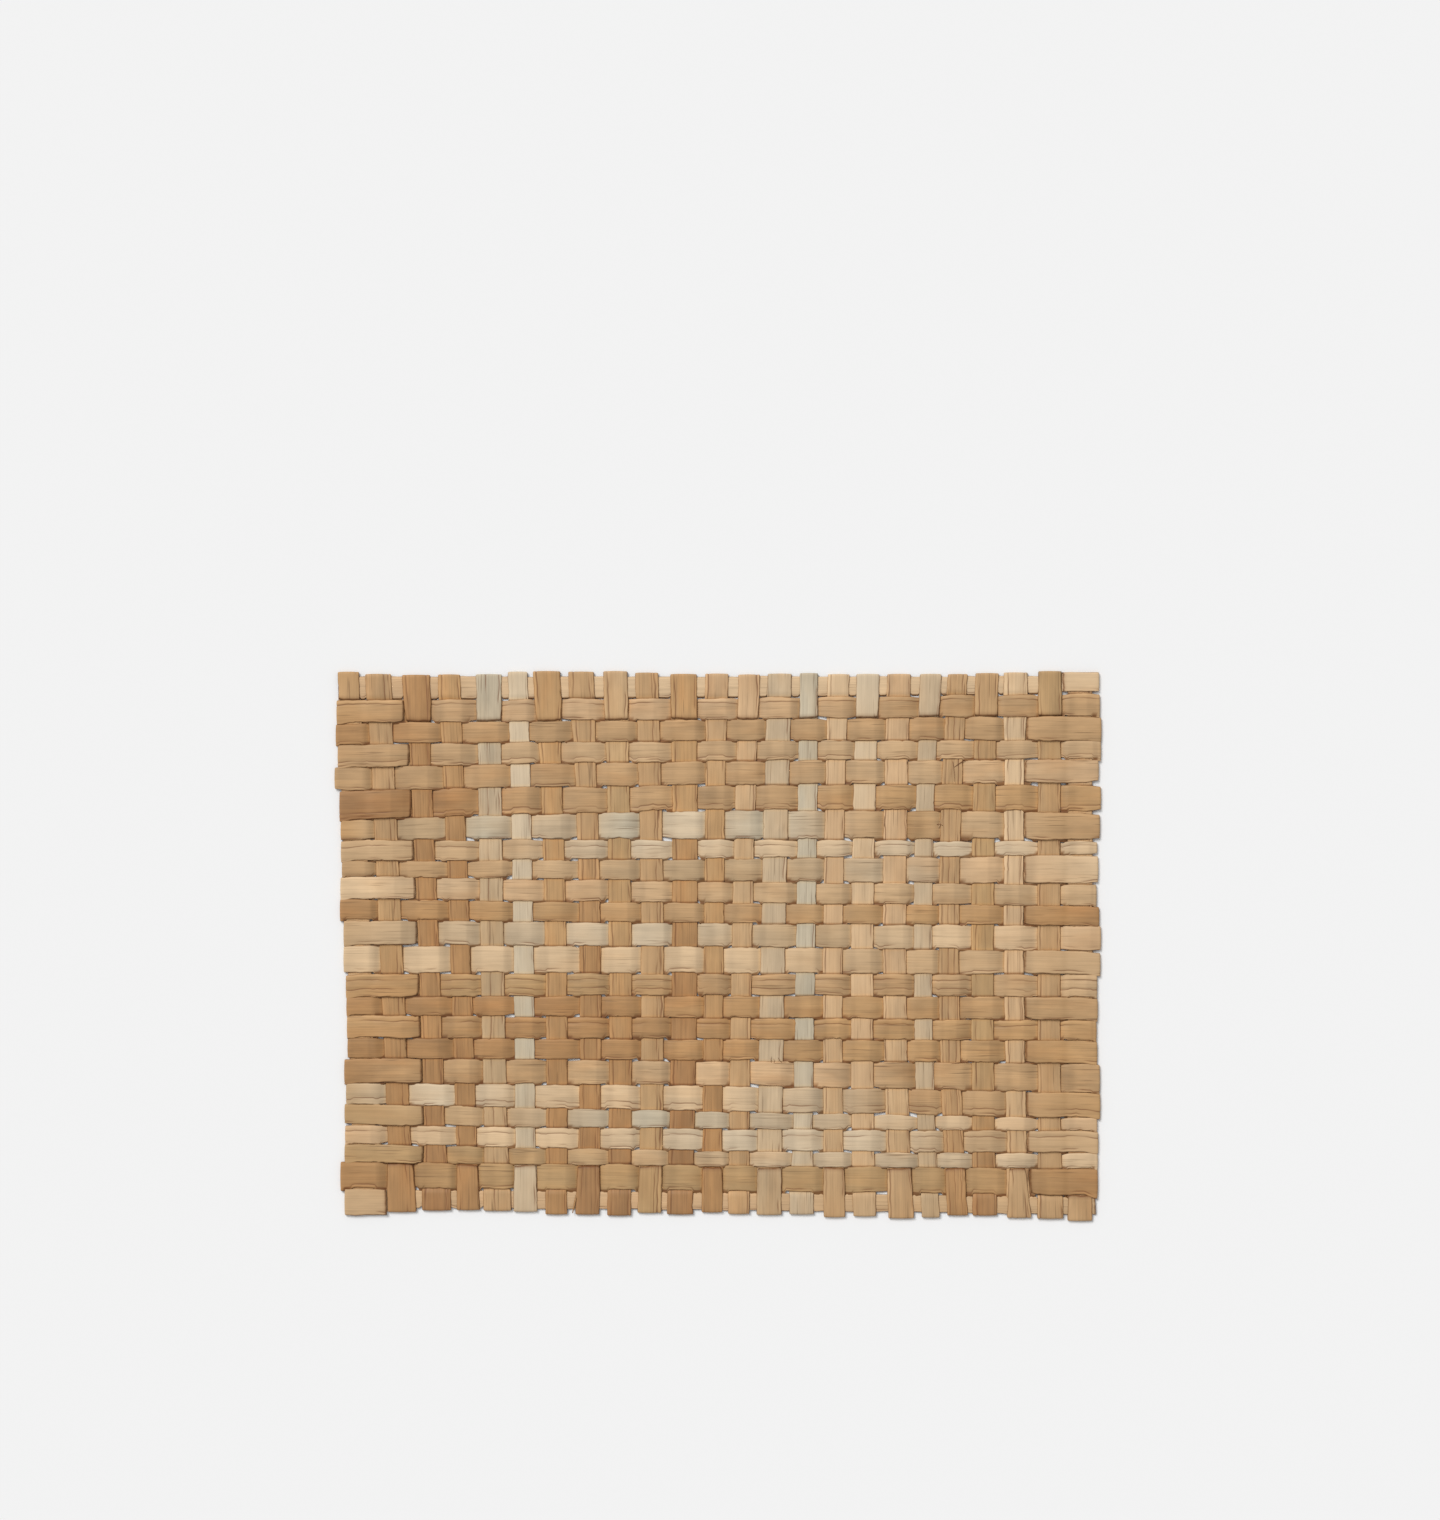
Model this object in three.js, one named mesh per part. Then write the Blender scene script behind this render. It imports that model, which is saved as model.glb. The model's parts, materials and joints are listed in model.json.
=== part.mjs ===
// Placemat woven one over one from flat folded strips of leaf.
// Millimetres, +Z up. The mat lies on z = 0 with its long side along X and is centred on the origin.
// Warp strips run along Y and stay almost straight. Weft strips run along X and dip under and rise
// over them. At the rim every strip turns back around the edge strip that it meets there.
import * as THREE from "three";

// The folded strip, and the clearance between one layer and the next.
const STRIP_THICKNESS = 0.8;
const LAYER_GAP = 0.3;
const LAYER_PITCH = STRIP_THICKNESS + LAYER_GAP;

// Heights in the weave, counted in layers from the underside.
const UNDER = 1;
const MIDDLE = 2;
const OVER = 3;
const TUCKED_FLAP = 4;

// Distances from the mat's centre at which the first and last columns of the tables are read.
const WARP_READ_Y = 155;
const WEFT_READ_X = 210;

// Clearances in the plane of the mat.
const CROSSING_MARGIN = 0.3; // a strip stays level this far past the edge of the strip it crosses
const LARGEST_OVERHANG = 1.0; // an upper strip may bulge this far over the seam with its neighbour
const SEAM_CLEARANCE = 0.4; // kept between neighbours while one dips and the other rises
const BESIDE_CLEARANCE = 0.25; // each side of the seam, where neighbours lie in one layer
const FLAP_SETBACK = 0.45; // from the end of a flap to the strip that it is tucked against
const HIDDEN_FLAP_SETBACK = 1.0; // a flap below an edge strip stops this far inside its edge
const FLAP_TAIL = 1.8; // length of the sloping tip of a flap that dives into the weave
const FLAP_INSET = 0.3; // a flap is this much narrower on each side than its strip

// The turn around an edge strip, as a half circle in three chords.
const TURN_RADIUS = (OVER - UNDER) * LAYER_PITCH / 2;
const TURN_HEIGHT = STRIP_THICKNESS / 2 + LAYER_PITCH;
const TURN_CLEARANCE = 0.3; // from the edge strip's edge to the centre of the turn
const TURN_REACH = TURN_RADIUS * Math.cos(Math.PI / 6) + STRIP_THICKNESS / 2;

// Where the long strips get extra sections, as shares of the reading distance: they follow a bow.
const WARP_SECTIONS = [-0.75, -0.35, 0, 0.35, 0.75];
const EDGE_WEFT_SECTIONS = [-0.7, -0.25, 0.25, 0.7];
const WIDTH_CHANGE_FROM = 0.75; // a warp keeps its middle width up to this share of the distance
const WIDTH_CHANGE_TO = 0.95; // and has its end width from here

// The flaps of the edge wefts lie on top at one corner each and spread wider there.
const TOP_RIGHT_FLAP = { low: 153.0, high: 164.6 };
const BOTTOM_LEFT_FLAP = { low: -161.7, high: -146.0 };

const LEAF_TONES = {
  ivory: "#d9d0b4",
  cream: "#e3d3b0",
  peach: "#dfc5a0",
  straw: "#d3bf93",
  sage: "#b9b393",
  grey: "#a89f86",
  olive: "#a8935f",
  tan: "#c19a6b",
  golden: "#c79c59",
  caramel: "#b47f4c",
  rosy: "#c08f72",
  brown: "#94714b",
};
const LEAF_ROUGHNESS = 0.55;

// x of the centre line and width, each read at the top, the middle and the bottom of the mat.
// ends: y of the outline where the strip turns back at the top and at the bottom.
const WARPS = [
  { x: [-221.8, -215.8, -212.2], width: [13.2, 14.4, 15.6], ends: [164.9, -161.0], tone: "straw" },
  { x: [-203.8, -196.5, -190.0], width: [15.6, 13.9, 17.4], ends: [163.6, -160.0], tone: "tan" },
  { x: [-181.1, -174.0, -169.1], width: [16.9, 12.6, 17.4], ends: [162.3, -159.1], tone: "caramel" },
  { x: [-161.4, -154.9, -150.1], width: [13.5, 12.3, 13.5], ends: [163.3, -158.8], tone: "caramel" },
  { x: [-137.7, -135.7, -132.6], width: [15.6, 14.2, 16.8], ends: [163.1, -159.1], tone: "sage" },
  { x: [-120.1, -116.9, -115.7], width: [11.8, 12.1, 14.4], ends: [165.0, -159.8], tone: "ivory" },
  { x: [-102.4, -97.5, -97.2], width: [16.5, 12.9, 13.1], ends: [165.3, -161.4], tone: "golden" },
  { x: [-81.9, -76.8, -78.3], width: [15.6, 12.9, 14.4], ends: [165.0, -161.5], tone: "tan" },
  { x: [-61.4, -58.7, -59.3], width: [14.8, 13.8, 14.4], ends: [165.3, -162.1], tone: "olive" },
  { x: [-42.6, -39.4, -41.0], width: [13.8, 13.8, 14.3], ends: [164.4, -160.5], tone: "straw" },
  { x: [-20.6, -20.0, -22.8], width: [16.2, 15.3, 15.6], ends: [163.6, -161.4], tone: "caramel" },
  { x: [-0.8, -2.5, -3.5], width: [13.9, 11.9, 12.7], ends: [163.8, -160.2], tone: "golden" },
  { x: [18.5, 14.4, 12.5], width: [12.9, 12.3, 12.9], ends: [163.3, -161.2], tone: "rosy" },
  { x: [36.9, 33.1, 30.7], width: [14.7, 14.8, 15.0], ends: [162.9, -161.7], tone: "grey" },
  { x: [54.6, 52.7, 50.2], width: [11.0, 11.7, 14.8], ends: [164.1, -161.4], tone: "sage" },
  { x: [72.2, 69.1, 69.9], width: [12.9, 11.8, 13.1], ends: [163.3, -163.1], tone: "peach" },
  { x: [90.0, 86.7, 87.9], width: [13.8, 13.6, 14.0], ends: [162.6, -162.6], tone: "cream" },
  { x: [108.6, 106.1, 109.7], width: [14.3, 14.1, 15.3], ends: [163.6, -163.8], tone: "golden" },
  { x: [127.5, 123.1, 127.4], width: [12.9, 11.1, 10.8], ends: [163.6, -163.3], tone: "sage" },
  { x: [143.6, 138.8, 143.6], width: [12.0, 12.3, 12.3], ends: [162.9, -162.0], tone: "brown" },
  { x: [161.4, 159.0, 160.3], width: [14.1, 13.6, 14.7], ends: [164.1, -162.1], tone: "olive" },
  { x: [178.9, 177.8, 180.7], width: [14.7, 12.0, 14.4], ends: [164.5, -163.5], tone: "straw" },
  { x: [199.5, 198.9, 199.6], width: [14.5, 13.8, 15.6], ends: [165.3, -164.0], tone: "rosy" },
  { x: [217.6, 217.6, 217.6], width: [15.0, 15.0, 15.0], ends: [163.5, -165.3], tone: "golden" },
];

// y of the centre line and width, each read at the left, the middle and the right of the mat.
// ends: x of the outline where the strip turns back at the left and at the right.
const WEFTS = [
  { y: [156.0, 156.6, 157.9], width: [12.0, 10.8, 8.7], ends: [-229.3, 229.2], tone: "peach" },
  { y: [141.2, 142.8, 144.8], width: [13.5, 12.6, 13.7], ends: [-229.2, 229.6], tone: "tan" },
  { y: [127.6, 129.8, 130.7], width: [12.6, 12.5, 14.7], ends: [-229.8, 230.5], tone: "grey" },
  { y: [114.4, 117.3, 118.1], width: [13.8, 11.8, 11.1], ends: [-228.5, 230.2], tone: "straw" },
  { y: [100.8, 104.0, 104.9], width: [14.1, 14.2, 14.0], ends: [-230.5, 228.9], tone: "tan" },
  { y: [84.9, 89.2, 89.0], width: [17.4, 14.4, 15.6], ends: [-227.6, 230.2], tone: "golden" },
  { y: [70.0, 72.9, 72.1], width: [12.3, 17.1, 16.3], ends: [-226.1, 229.6], tone: "sage" },
  { y: [57.5, 58.5, 58.9], width: [12.3, 11.0, 8.1], ends: [-226.7, 228.0], tone: "cream" },
  { y: [46.5, 45.9, 46.0], width: [9.2, 12.9, 16.9], ends: [-226.1, 228.6], tone: "sage" },
  { y: [35.1, 32.5, 30.8], width: [13.5, 12.3, 12.7], ends: [-227.0, 227.6], tone: "rosy" },
  { y: [22.0, 19.9, 18.5], width: [12.0, 11.8, 11.7], ends: [-227.3, 229.2], tone: "tan" },
  { y: [8.2, 6.6, 4.8], width: [14.4, 13.7, 15.0], ends: [-225.1, 230.2], tone: "ivory" },
  { y: [-7.8, -8.4, -10.0], width: [16.2, 15.6, 14.0], ends: [-225.1, 229.9], tone: "cream" },
  { y: [-23.7, -23.1, -23.8], width: [13.8, 12.6, 13.6], ends: [-223.0, 228.0], tone: "olive" },
  { y: [-35.9, -36.4, -37.5], width: [10.8, 12.9, 13.7], ends: [-222.4, 228.3], tone: "caramel" },
  { y: [-48.2, -49.5, -50.5], width: [13.2, 12.4, 12.0], ends: [-222.4, 227.6], tone: "golden" },
  { y: [-61.3, -62.3, -63.4], width: [12.3, 12.3, 13.7], ends: [-221.5, 228.0], tone: "caramel" },
  { y: [-74.8, -76.4, -79.2], width: [14.7, 14.2, 17.3], ends: [-224.7, 229.6], tone: "brown" },
  { y: [-88.8, -91.6, -95.3], width: [12.6, 15.0, 15.0], ends: [-223.6, 229.8], tone: "peach" },
  { y: [-101.2, -104.5, -106.9], width: [12.3, 10.1, 7.8], ends: [-224.5, 228.0], tone: "ivory" },
  { y: [-113.2, -116.3, -117.3], width: [11.1, 12.9, 13.0], ends: [-224.2, 228.6], tone: "cream" },
  { y: [-124.5, -127.8, -128.8], width: [11.0, 9.6, 9.1], ends: [-224.5, 228.3], tone: "olive" },
  { y: [-137.5, -139.3, -141.5], width: [15.6, 15.3, 15.6], ends: [-227.0, 228.3], tone: "grey" },
  { y: [-152.4, -153.9, -156.6], width: [10.2, 9.6, 9.3], ends: [-224.5, 228.4], tone: "peach" },
];

const LAST = WEFTS.length;

// A smooth bow through three readings: share is 1 at the first, 0 at the second, -1 at the third.
function bow([first, middle, last], share) {
  return middle + ((first - last) / 2) * share + ((first + last) / 2 - middle) * share * share;
}

// Straight runs between three readings, with the same shares.
function runs([first, middle, last], share) {
  const end = share > 0 ? first : last;
  return middle + (end - middle) * Math.min(Math.abs(share), 1);
}

function layerHeight(layer) {
  return STRIP_THICKNESS / 2 + (layer - 1) * LAYER_PITCH;
}

// Strips are numbered from 1: warps from the left, wefts from the top.
function warpEdges(number, y) {
  const { x, width } = WARPS[number - 1];
  const share = y / WARP_READ_Y;
  const change = (Math.abs(share) - WIDTH_CHANGE_FROM) / (WIDTH_CHANGE_TO - WIDTH_CHANGE_FROM);
  const half = runs(width, Math.sign(share) * Math.min(Math.max(change, 0), 1)) / 2;
  const centre = bow(x, share);
  return { left: centre - half, right: centre + half };
}

function weftFullEdges(number, x) {
  const { y, width } = WEFTS[number - 1];
  const share = -x / WEFT_READ_X;
  const half = runs(width, share) / 2;
  const centre = bow(y, share);
  return { low: centre - half, high: centre + half };
}

function weftCentre(number, x) {
  return bow(WEFTS[number - 1].y, -x / WEFT_READ_X);
}

// How far a weft's edge stays inside the seam between it and its neighbour. It is wide where it
// lies over a warp, tucked where it lies under one, and beside where both lie in one layer.
function seamInset(overlap, fit) {
  const shared = Math.min(overlap, LARGEST_OVERHANG);
  if (fit === "wide") return -shared;
  const least = Math.max(BESIDE_CLEARANCE, -shared);
  return fit === "beside" ? least : Math.max(least, shared + SEAM_CLEARANCE);
}

function seamEdge(upper, x, fit, side) {
  const above = weftFullEdges(upper, x).low;
  const below = weftFullEdges(upper + 1, x).high;
  return (above + below) / 2 + side * seamInset((below - above) / 2, fit);
}

function weftEdges(number, x, fit) {
  const full = weftFullEdges(number, x);
  const isEdge = number === 1 || number === LAST;
  const low = isEdge || number === LAST - 1 ? full.low : seamEdge(number, x, fit, 1);
  const high = isEdge || number === 2 ? full.high : seamEdge(number - 1, x, fit, -1);
  return { low, high };
}

function weftIsOver(weft, warp) {
  return (weft + warp) % 2 === 0;
}

// One cross-section of a strip: along is the distance along its run, z its mid-height, facing the
// direction of its upper face as an angle in the plane of the run, low and high its two edges.
const FACE_UP = Math.PI / 2;
const FACE_DOWN = -Math.PI / 2;

function section(along, z, edges, facing = FACE_UP) {
  return { along, z, facing, low: edges.low, high: edges.high };
}

// The sections of a half turn about (centre, TURN_HEIGHT) through the given angles.
function turn(centre, angles, facesCentre, edges) {
  return angles.map((degrees) => {
    const angle = THREE.MathUtils.degToRad(degrees);
    const along = centre + TURN_RADIUS * Math.cos(angle);
    const z = TURN_HEIGHT + TURN_RADIUS * Math.sin(angle);
    return section(along, z, edges, facesCentre ? angle + Math.PI : angle);
  });
}

const START_TURN_DOWN = [90, 150, 210, 270];
const START_TURN_UP = [270, 210, 150, 90];
const END_TURN_UP = [-90, -30, 30, 90];
const END_TURN_DOWN = [90, 30, -30, -90];

// Where the turn is centred: outside the edge strip, and out to the outline where that is further.
function startTurnCentre(edge, outline) {
  return Math.min(edge - TURN_CLEARANCE, outline + TURN_REACH);
}
function endTurnCentre(edge, outline) {
  return Math.max(edge + TURN_CLEARANCE, outline - TURN_REACH);
}

function narrowed(edges, inset) {
  return { low: edges.low + inset, high: edges.high - inset };
}

// Closed ribbon through the sections. place turns (along, across, z) into a point of the mat.
function ribbon(sections, place) {
  const half = STRIP_THICKNESS / 2;
  const points = [];
  for (const s of sections) {
    const shift = Math.cos(s.facing) * half;
    const rise = Math.sin(s.facing) * half;
    const corners = [[1, s.low], [1, s.high], [-1, s.high], [-1, s.low]];
    for (const [side, across] of corners) {
      points.push(place(s.along + side * shift, across, s.z + side * rise));
    }
  }
  const faces = [];
  const quad = (a, b, c, d) => faces.push(a, b, c, a, c, d);
  for (let i = 0; i + 1 < sections.length; i++) {
    for (let k = 0; k < 4; k++) {
      const next = (k + 1) % 4;
      quad(4 * i + k, 4 * i + 4 + k, 4 * i + 4 + next, 4 * i + next);
    }
  }
  const end = 4 * (sections.length - 1);
  quad(0, 1, 2, 3);
  quad(end + 3, end + 2, end + 1, end);
  const geometry = new THREE.BufferGeometry().setFromPoints(points);
  geometry.setIndex(faces);
  return geometry.toNonIndexed();
}

function strip(name, tone, sections, place) {
  const geometry = ribbon(sections, place);
  geometry.computeVertexNormals();
  const material = new THREE.MeshStandardMaterial({
    color: LEAF_TONES[tone],
    roughness: LEAF_ROUGHNESS,
    metalness: 0,
  });
  const mesh = new THREE.Mesh(geometry, material);
  mesh.name = name;
  return mesh;
}

const alongX = (along, across, z) => new THREE.Vector3(along, across, z);
const alongY = (along, across, z) => new THREE.Vector3(-across, along, z);

// Weft strips

// The edges of a warp where a weft crosses it, widened by the margin on which the weft is level.
function crossing(weft, warp) {
  const { left, right } = warpEdges(warp, weftCentre(weft, WARPS[warp - 1].x[1]));
  return { left: left - CROSSING_MARGIN, right: right + CROSSING_MARGIN, edges: { left, right } };
}

function weftMiddle(weft) {
  const sections = [];
  for (let warp = 2; warp < LAST; warp++) {
    const over = weftIsOver(weft, warp);
    const z = layerHeight(over ? OVER : UNDER);
    const { left, right } = crossing(weft, warp);
    for (const x of [left, right]) {
      sections.push(section(x, z, weftEdges(weft, x, over ? "wide" : "tucked")));
    }
  }
  return sections;
}

// The flap of a weft that passes under the edge warp: it comes back over that warp, lies on its
// own strip over the next warp and dives down beside the third. Listed from the turn to the tip.
function longWeftFlap(weft, edgeWarp, nextWarp, thirdWarp) {
  const inward = Math.sign(nextWarp - edgeWarp);
  const near = inward > 0 ? "left" : "right";
  const far = inward > 0 ? "right" : "left";
  const edge = crossing(weft, edgeWarp)[far];
  const next = crossing(weft, nextWarp);
  const third = crossing(weft, thirdWarp)[near];
  const slope = (2 * LAYER_PITCH) / Math.abs(third - next[far]);
  const flat = layerHeight(TUCKED_FLAP);
  const fit = (x, kind) => narrowed(weftEdges(weft, x, kind), FLAP_INSET);
  const tip = next[far] + inward * FLAP_TAIL;
  return [
    section(edge, layerHeight(OVER), fit(edge, "beside"), FACE_DOWN),
    section(next[near], flat, fit(next[near], "wide"), FACE_DOWN),
    section(next[far], flat, fit(next[far], "wide"), FACE_DOWN),
    section(tip, flat - slope * FLAP_TAIL, fit(tip, "tucked"), FACE_DOWN),
  ];
}

function weftStart(weft) {
  const edgeStrip = crossing(weft, 1);
  const edges = weftEdges(weft, edgeStrip.left, "beside");
  const centre = startTurnCentre(edgeStrip.edges.left, WEFTS[weft - 1].ends[0]);
  const inner = weftEdges(weft, edgeStrip.right, "beside");
  if (weftIsOver(weft, 1)) {
    const tip = edgeStrip.edges.right - HIDDEN_FLAP_SETBACK;
    return [
      section(tip, layerHeight(UNDER), narrowed(inner, FLAP_INSET), FACE_DOWN),
      ...turn(centre, START_TURN_UP, false, edges),
      section(edgeStrip.right, layerHeight(OVER), inner),
    ];
  }
  return [
    ...longWeftFlap(weft, 1, 2, 3).reverse(),
    ...turn(centre, START_TURN_DOWN, true, edges),
    section(edgeStrip.right, layerHeight(UNDER), inner),
  ];
}

function weftEnd(weft) {
  const edgeStrip = crossing(weft, LAST);
  const edges = weftEdges(weft, edgeStrip.right, "beside");
  const centre = endTurnCentre(edgeStrip.edges.right, WEFTS[weft - 1].ends[1]);
  const inner = weftEdges(weft, edgeStrip.left, "beside");
  if (weftIsOver(weft, LAST)) {
    const tip = edgeStrip.edges.left + HIDDEN_FLAP_SETBACK;
    return [
      section(edgeStrip.left, layerHeight(OVER), inner),
      ...turn(centre, END_TURN_DOWN, false, edges),
      section(tip, layerHeight(UNDER), narrowed(inner, FLAP_INSET), FACE_DOWN),
    ];
  }
  return [
    section(edgeStrip.left, layerHeight(UNDER), inner),
    ...turn(centre, END_TURN_UP, true, edges),
    ...longWeftFlap(weft, LAST, LAST - 1, LAST - 2),
  ];
}

// An edge weft lies level between the turned warps. One end turns back over the edge warp and the
// other ends plainly between that warp's strip and its flap.
function edgeWeft(weft, turnsAtStart) {
  const level = (x) => section(x, layerHeight(MIDDLE), weftEdges(weft, x));
  const middle = EDGE_WEFT_SECTIONS.map((share) => level(share * WEFT_READ_X));
  const { ends } = WEFTS[weft - 1];
  if (turnsAtStart) {
    const corner = crossing(weft, 1);
    const next = crossing(weft, 2).left;
    const centre = startTurnCentre(corner.edges.left, ends[0]);
    return [
      section(next - FLAP_SETBACK, layerHeight(OVER), BOTTOM_LEFT_FLAP, FACE_DOWN),
      ...turn(centre, START_TURN_DOWN, true, BOTTOM_LEFT_FLAP),
      section(corner.right, layerHeight(UNDER), BOTTOM_LEFT_FLAP),
      level(next),
      ...middle,
      level(ends[1]),
    ];
  }
  const corner = crossing(weft, LAST);
  const next = crossing(weft, LAST - 1).right;
  const centre = endTurnCentre(corner.edges.right, ends[1]);
  return [
    level(ends[0]),
    ...middle,
    level(next),
    section(corner.left, layerHeight(UNDER), TOP_RIGHT_FLAP),
    ...turn(centre, END_TURN_UP, true, TOP_RIGHT_FLAP),
    section(next + FLAP_SETBACK, layerHeight(OVER), TOP_RIGHT_FLAP, FACE_DOWN),
  ];
}

function weftSections(weft) {
  if (weft === 1) return edgeWeft(weft, false);
  if (weft === LAST) return edgeWeft(weft, true);
  return [...weftStart(weft), ...weftMiddle(weft), ...weftEnd(weft)];
}

// Warp strips. Their run goes up the mat, so across is measured towards -X.

function warpSpan(warp, y) {
  const { left, right } = warpEdges(warp, y);
  return { low: -right, high: -left };
}

function warpSection(warp, y, layer, facing) {
  const edges = narrowed(warpSpan(warp, y), facing === FACE_DOWN ? FLAP_INSET : 0);
  return section(y, layerHeight(layer), edges, facing);
}

function warpMiddle(warp) {
  return WARP_SECTIONS.map((share) => warpSection(warp, share * WARP_READ_Y, MIDDLE));
}

// The y limits of a weft where a warp crosses it.
function weftAt(weft, warp) {
  return weftEdges(weft, WARPS[warp - 1].x[weft > LAST / 2 ? 2 : 0], "wide");
}

// At the bottom an even warp passes under the edge weft, and its flap covers the last two wefts.
// An odd warp passes over the edge weft, and its flap is hidden below.
function warpStart(warp) {
  const edgeStrip = weftAt(LAST, warp);
  const second = weftAt(LAST - 1, warp);
  const centre = startTurnCentre(edgeStrip.low, WARPS[warp - 1].ends[1]);
  const edges = warpSpan(warp, edgeStrip.low);
  const goesUnder = weftIsOver(LAST, warp);
  const base = [
    warpSection(warp, edgeStrip.high + CROSSING_MARGIN, goesUnder ? UNDER : OVER),
    warpSection(warp, second.low - CROSSING_MARGIN, MIDDLE),
  ];
  if (goesUnder) {
    const stop = warp === LAST ? second.low : weftAt(LAST - 2, warp).low;
    const tip = warpSection(warp, stop - FLAP_SETBACK, OVER, FACE_DOWN);
    return [tip, ...turn(centre, START_TURN_DOWN, true, edges), ...base];
  }
  const tip = warpSection(warp, edgeStrip.high - HIDDEN_FLAP_SETBACK, UNDER, FACE_DOWN);
  return [tip, ...turn(centre, START_TURN_UP, false, edges), ...base];
}

// At the top it is the odd warps that pass under the edge weft.
function warpEnd(warp) {
  const edgeStrip = weftAt(1, warp);
  const second = weftAt(2, warp);
  const centre = endTurnCentre(edgeStrip.high, WARPS[warp - 1].ends[0]);
  const edges = warpSpan(warp, edgeStrip.high);
  const goesUnder = weftIsOver(1, warp);
  const base = [
    warpSection(warp, second.high + CROSSING_MARGIN, MIDDLE),
    warpSection(warp, edgeStrip.low - CROSSING_MARGIN, goesUnder ? UNDER : OVER),
  ];
  if (goesUnder) {
    const stop = warp === 1 ? second.high : weftAt(3, warp).high;
    const tip = warpSection(warp, stop + FLAP_SETBACK, OVER, FACE_DOWN);
    return [...base, ...turn(centre, END_TURN_UP, true, edges), tip];
  }
  const tip = warpSection(warp, edgeStrip.low + HIDDEN_FLAP_SETBACK, UNDER, FACE_DOWN);
  return [...base, ...turn(centre, END_TURN_DOWN, false, edges), tip];
}

// The edge warps end plainly at one corner each, between the strip and the flap of the edge weft.
function warpSections(warp) {
  const { ends } = WARPS[warp - 1];
  const start = warp === 1 ? [warpSection(warp, ends[1], MIDDLE)] : warpStart(warp);
  const end = warp === LAST ? [warpSection(warp, ends[0], MIDDLE)] : warpEnd(warp);
  return [...start, ...warpMiddle(warp), ...end];
}

function buildMat() {
  const mat = new THREE.Group();
  const label = (kind, number) => kind + "_" + String(number).padStart(2, "0");
  for (let number = 1; number <= LAST; number++) {
    const warp = WARPS[number - 1];
    const weft = WEFTS[number - 1];
    mat.add(strip(label("warp", number), warp.tone, warpSections(number), alongY));
    mat.add(strip(label("weft", number), weft.tone, weftSections(number), alongX));
  }
  return mat;
}

const placemat = buildMat();
export default placemat;
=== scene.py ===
"""A placemat woven from folded leaf strips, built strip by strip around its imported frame."""

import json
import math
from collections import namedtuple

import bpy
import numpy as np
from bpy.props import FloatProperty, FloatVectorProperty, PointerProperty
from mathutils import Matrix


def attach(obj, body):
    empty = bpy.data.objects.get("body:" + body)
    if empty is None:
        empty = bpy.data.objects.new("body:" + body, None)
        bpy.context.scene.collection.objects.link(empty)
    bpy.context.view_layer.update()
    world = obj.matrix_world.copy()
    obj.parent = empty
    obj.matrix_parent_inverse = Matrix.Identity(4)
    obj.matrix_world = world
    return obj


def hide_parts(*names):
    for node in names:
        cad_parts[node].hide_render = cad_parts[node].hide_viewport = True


bl_info = {
    "name": "Woven Leaf Placemat",
    "version": (1, 0, 0),
    "blender": (4, 5, 0),
    "location": "View3D > Sidebar > Placemat",
    "description": "Weaves a placemat from folded leaf strips and sets up its studio",
    "category": "Add Mesh",
}

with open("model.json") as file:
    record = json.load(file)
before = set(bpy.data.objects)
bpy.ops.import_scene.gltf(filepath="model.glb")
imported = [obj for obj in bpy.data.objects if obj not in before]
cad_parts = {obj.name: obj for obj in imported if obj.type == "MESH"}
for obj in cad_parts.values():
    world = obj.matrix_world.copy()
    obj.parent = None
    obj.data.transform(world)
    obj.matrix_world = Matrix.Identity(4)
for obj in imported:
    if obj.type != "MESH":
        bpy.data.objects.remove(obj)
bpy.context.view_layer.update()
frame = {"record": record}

MM = 0.001
TAU = 2 * math.pi

# Distances from the mat's centre at which the first and last readings of a strip are taken.
WARP_READ_Y = 155.0
WEFT_READ_X = 210.0
WIDTH_CHANGE = (0.75, 0.95)  # between these shares a warp goes from its middle to its end width

# A strip as charted on the mat, in millimetres. Warps are read from the top of the mat to the
# bottom and wefts from the left to the right.
# centre, width: at the first end, the middle and the last end. ends: where it turns back.
# pleats: places of the lengthwise creases across the strip, from -1 to 1.
# tones: leaf colours met along the strip, evenly spaced.
Strip = namedtuple("Strip", "centre width ends pleats tones")

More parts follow.
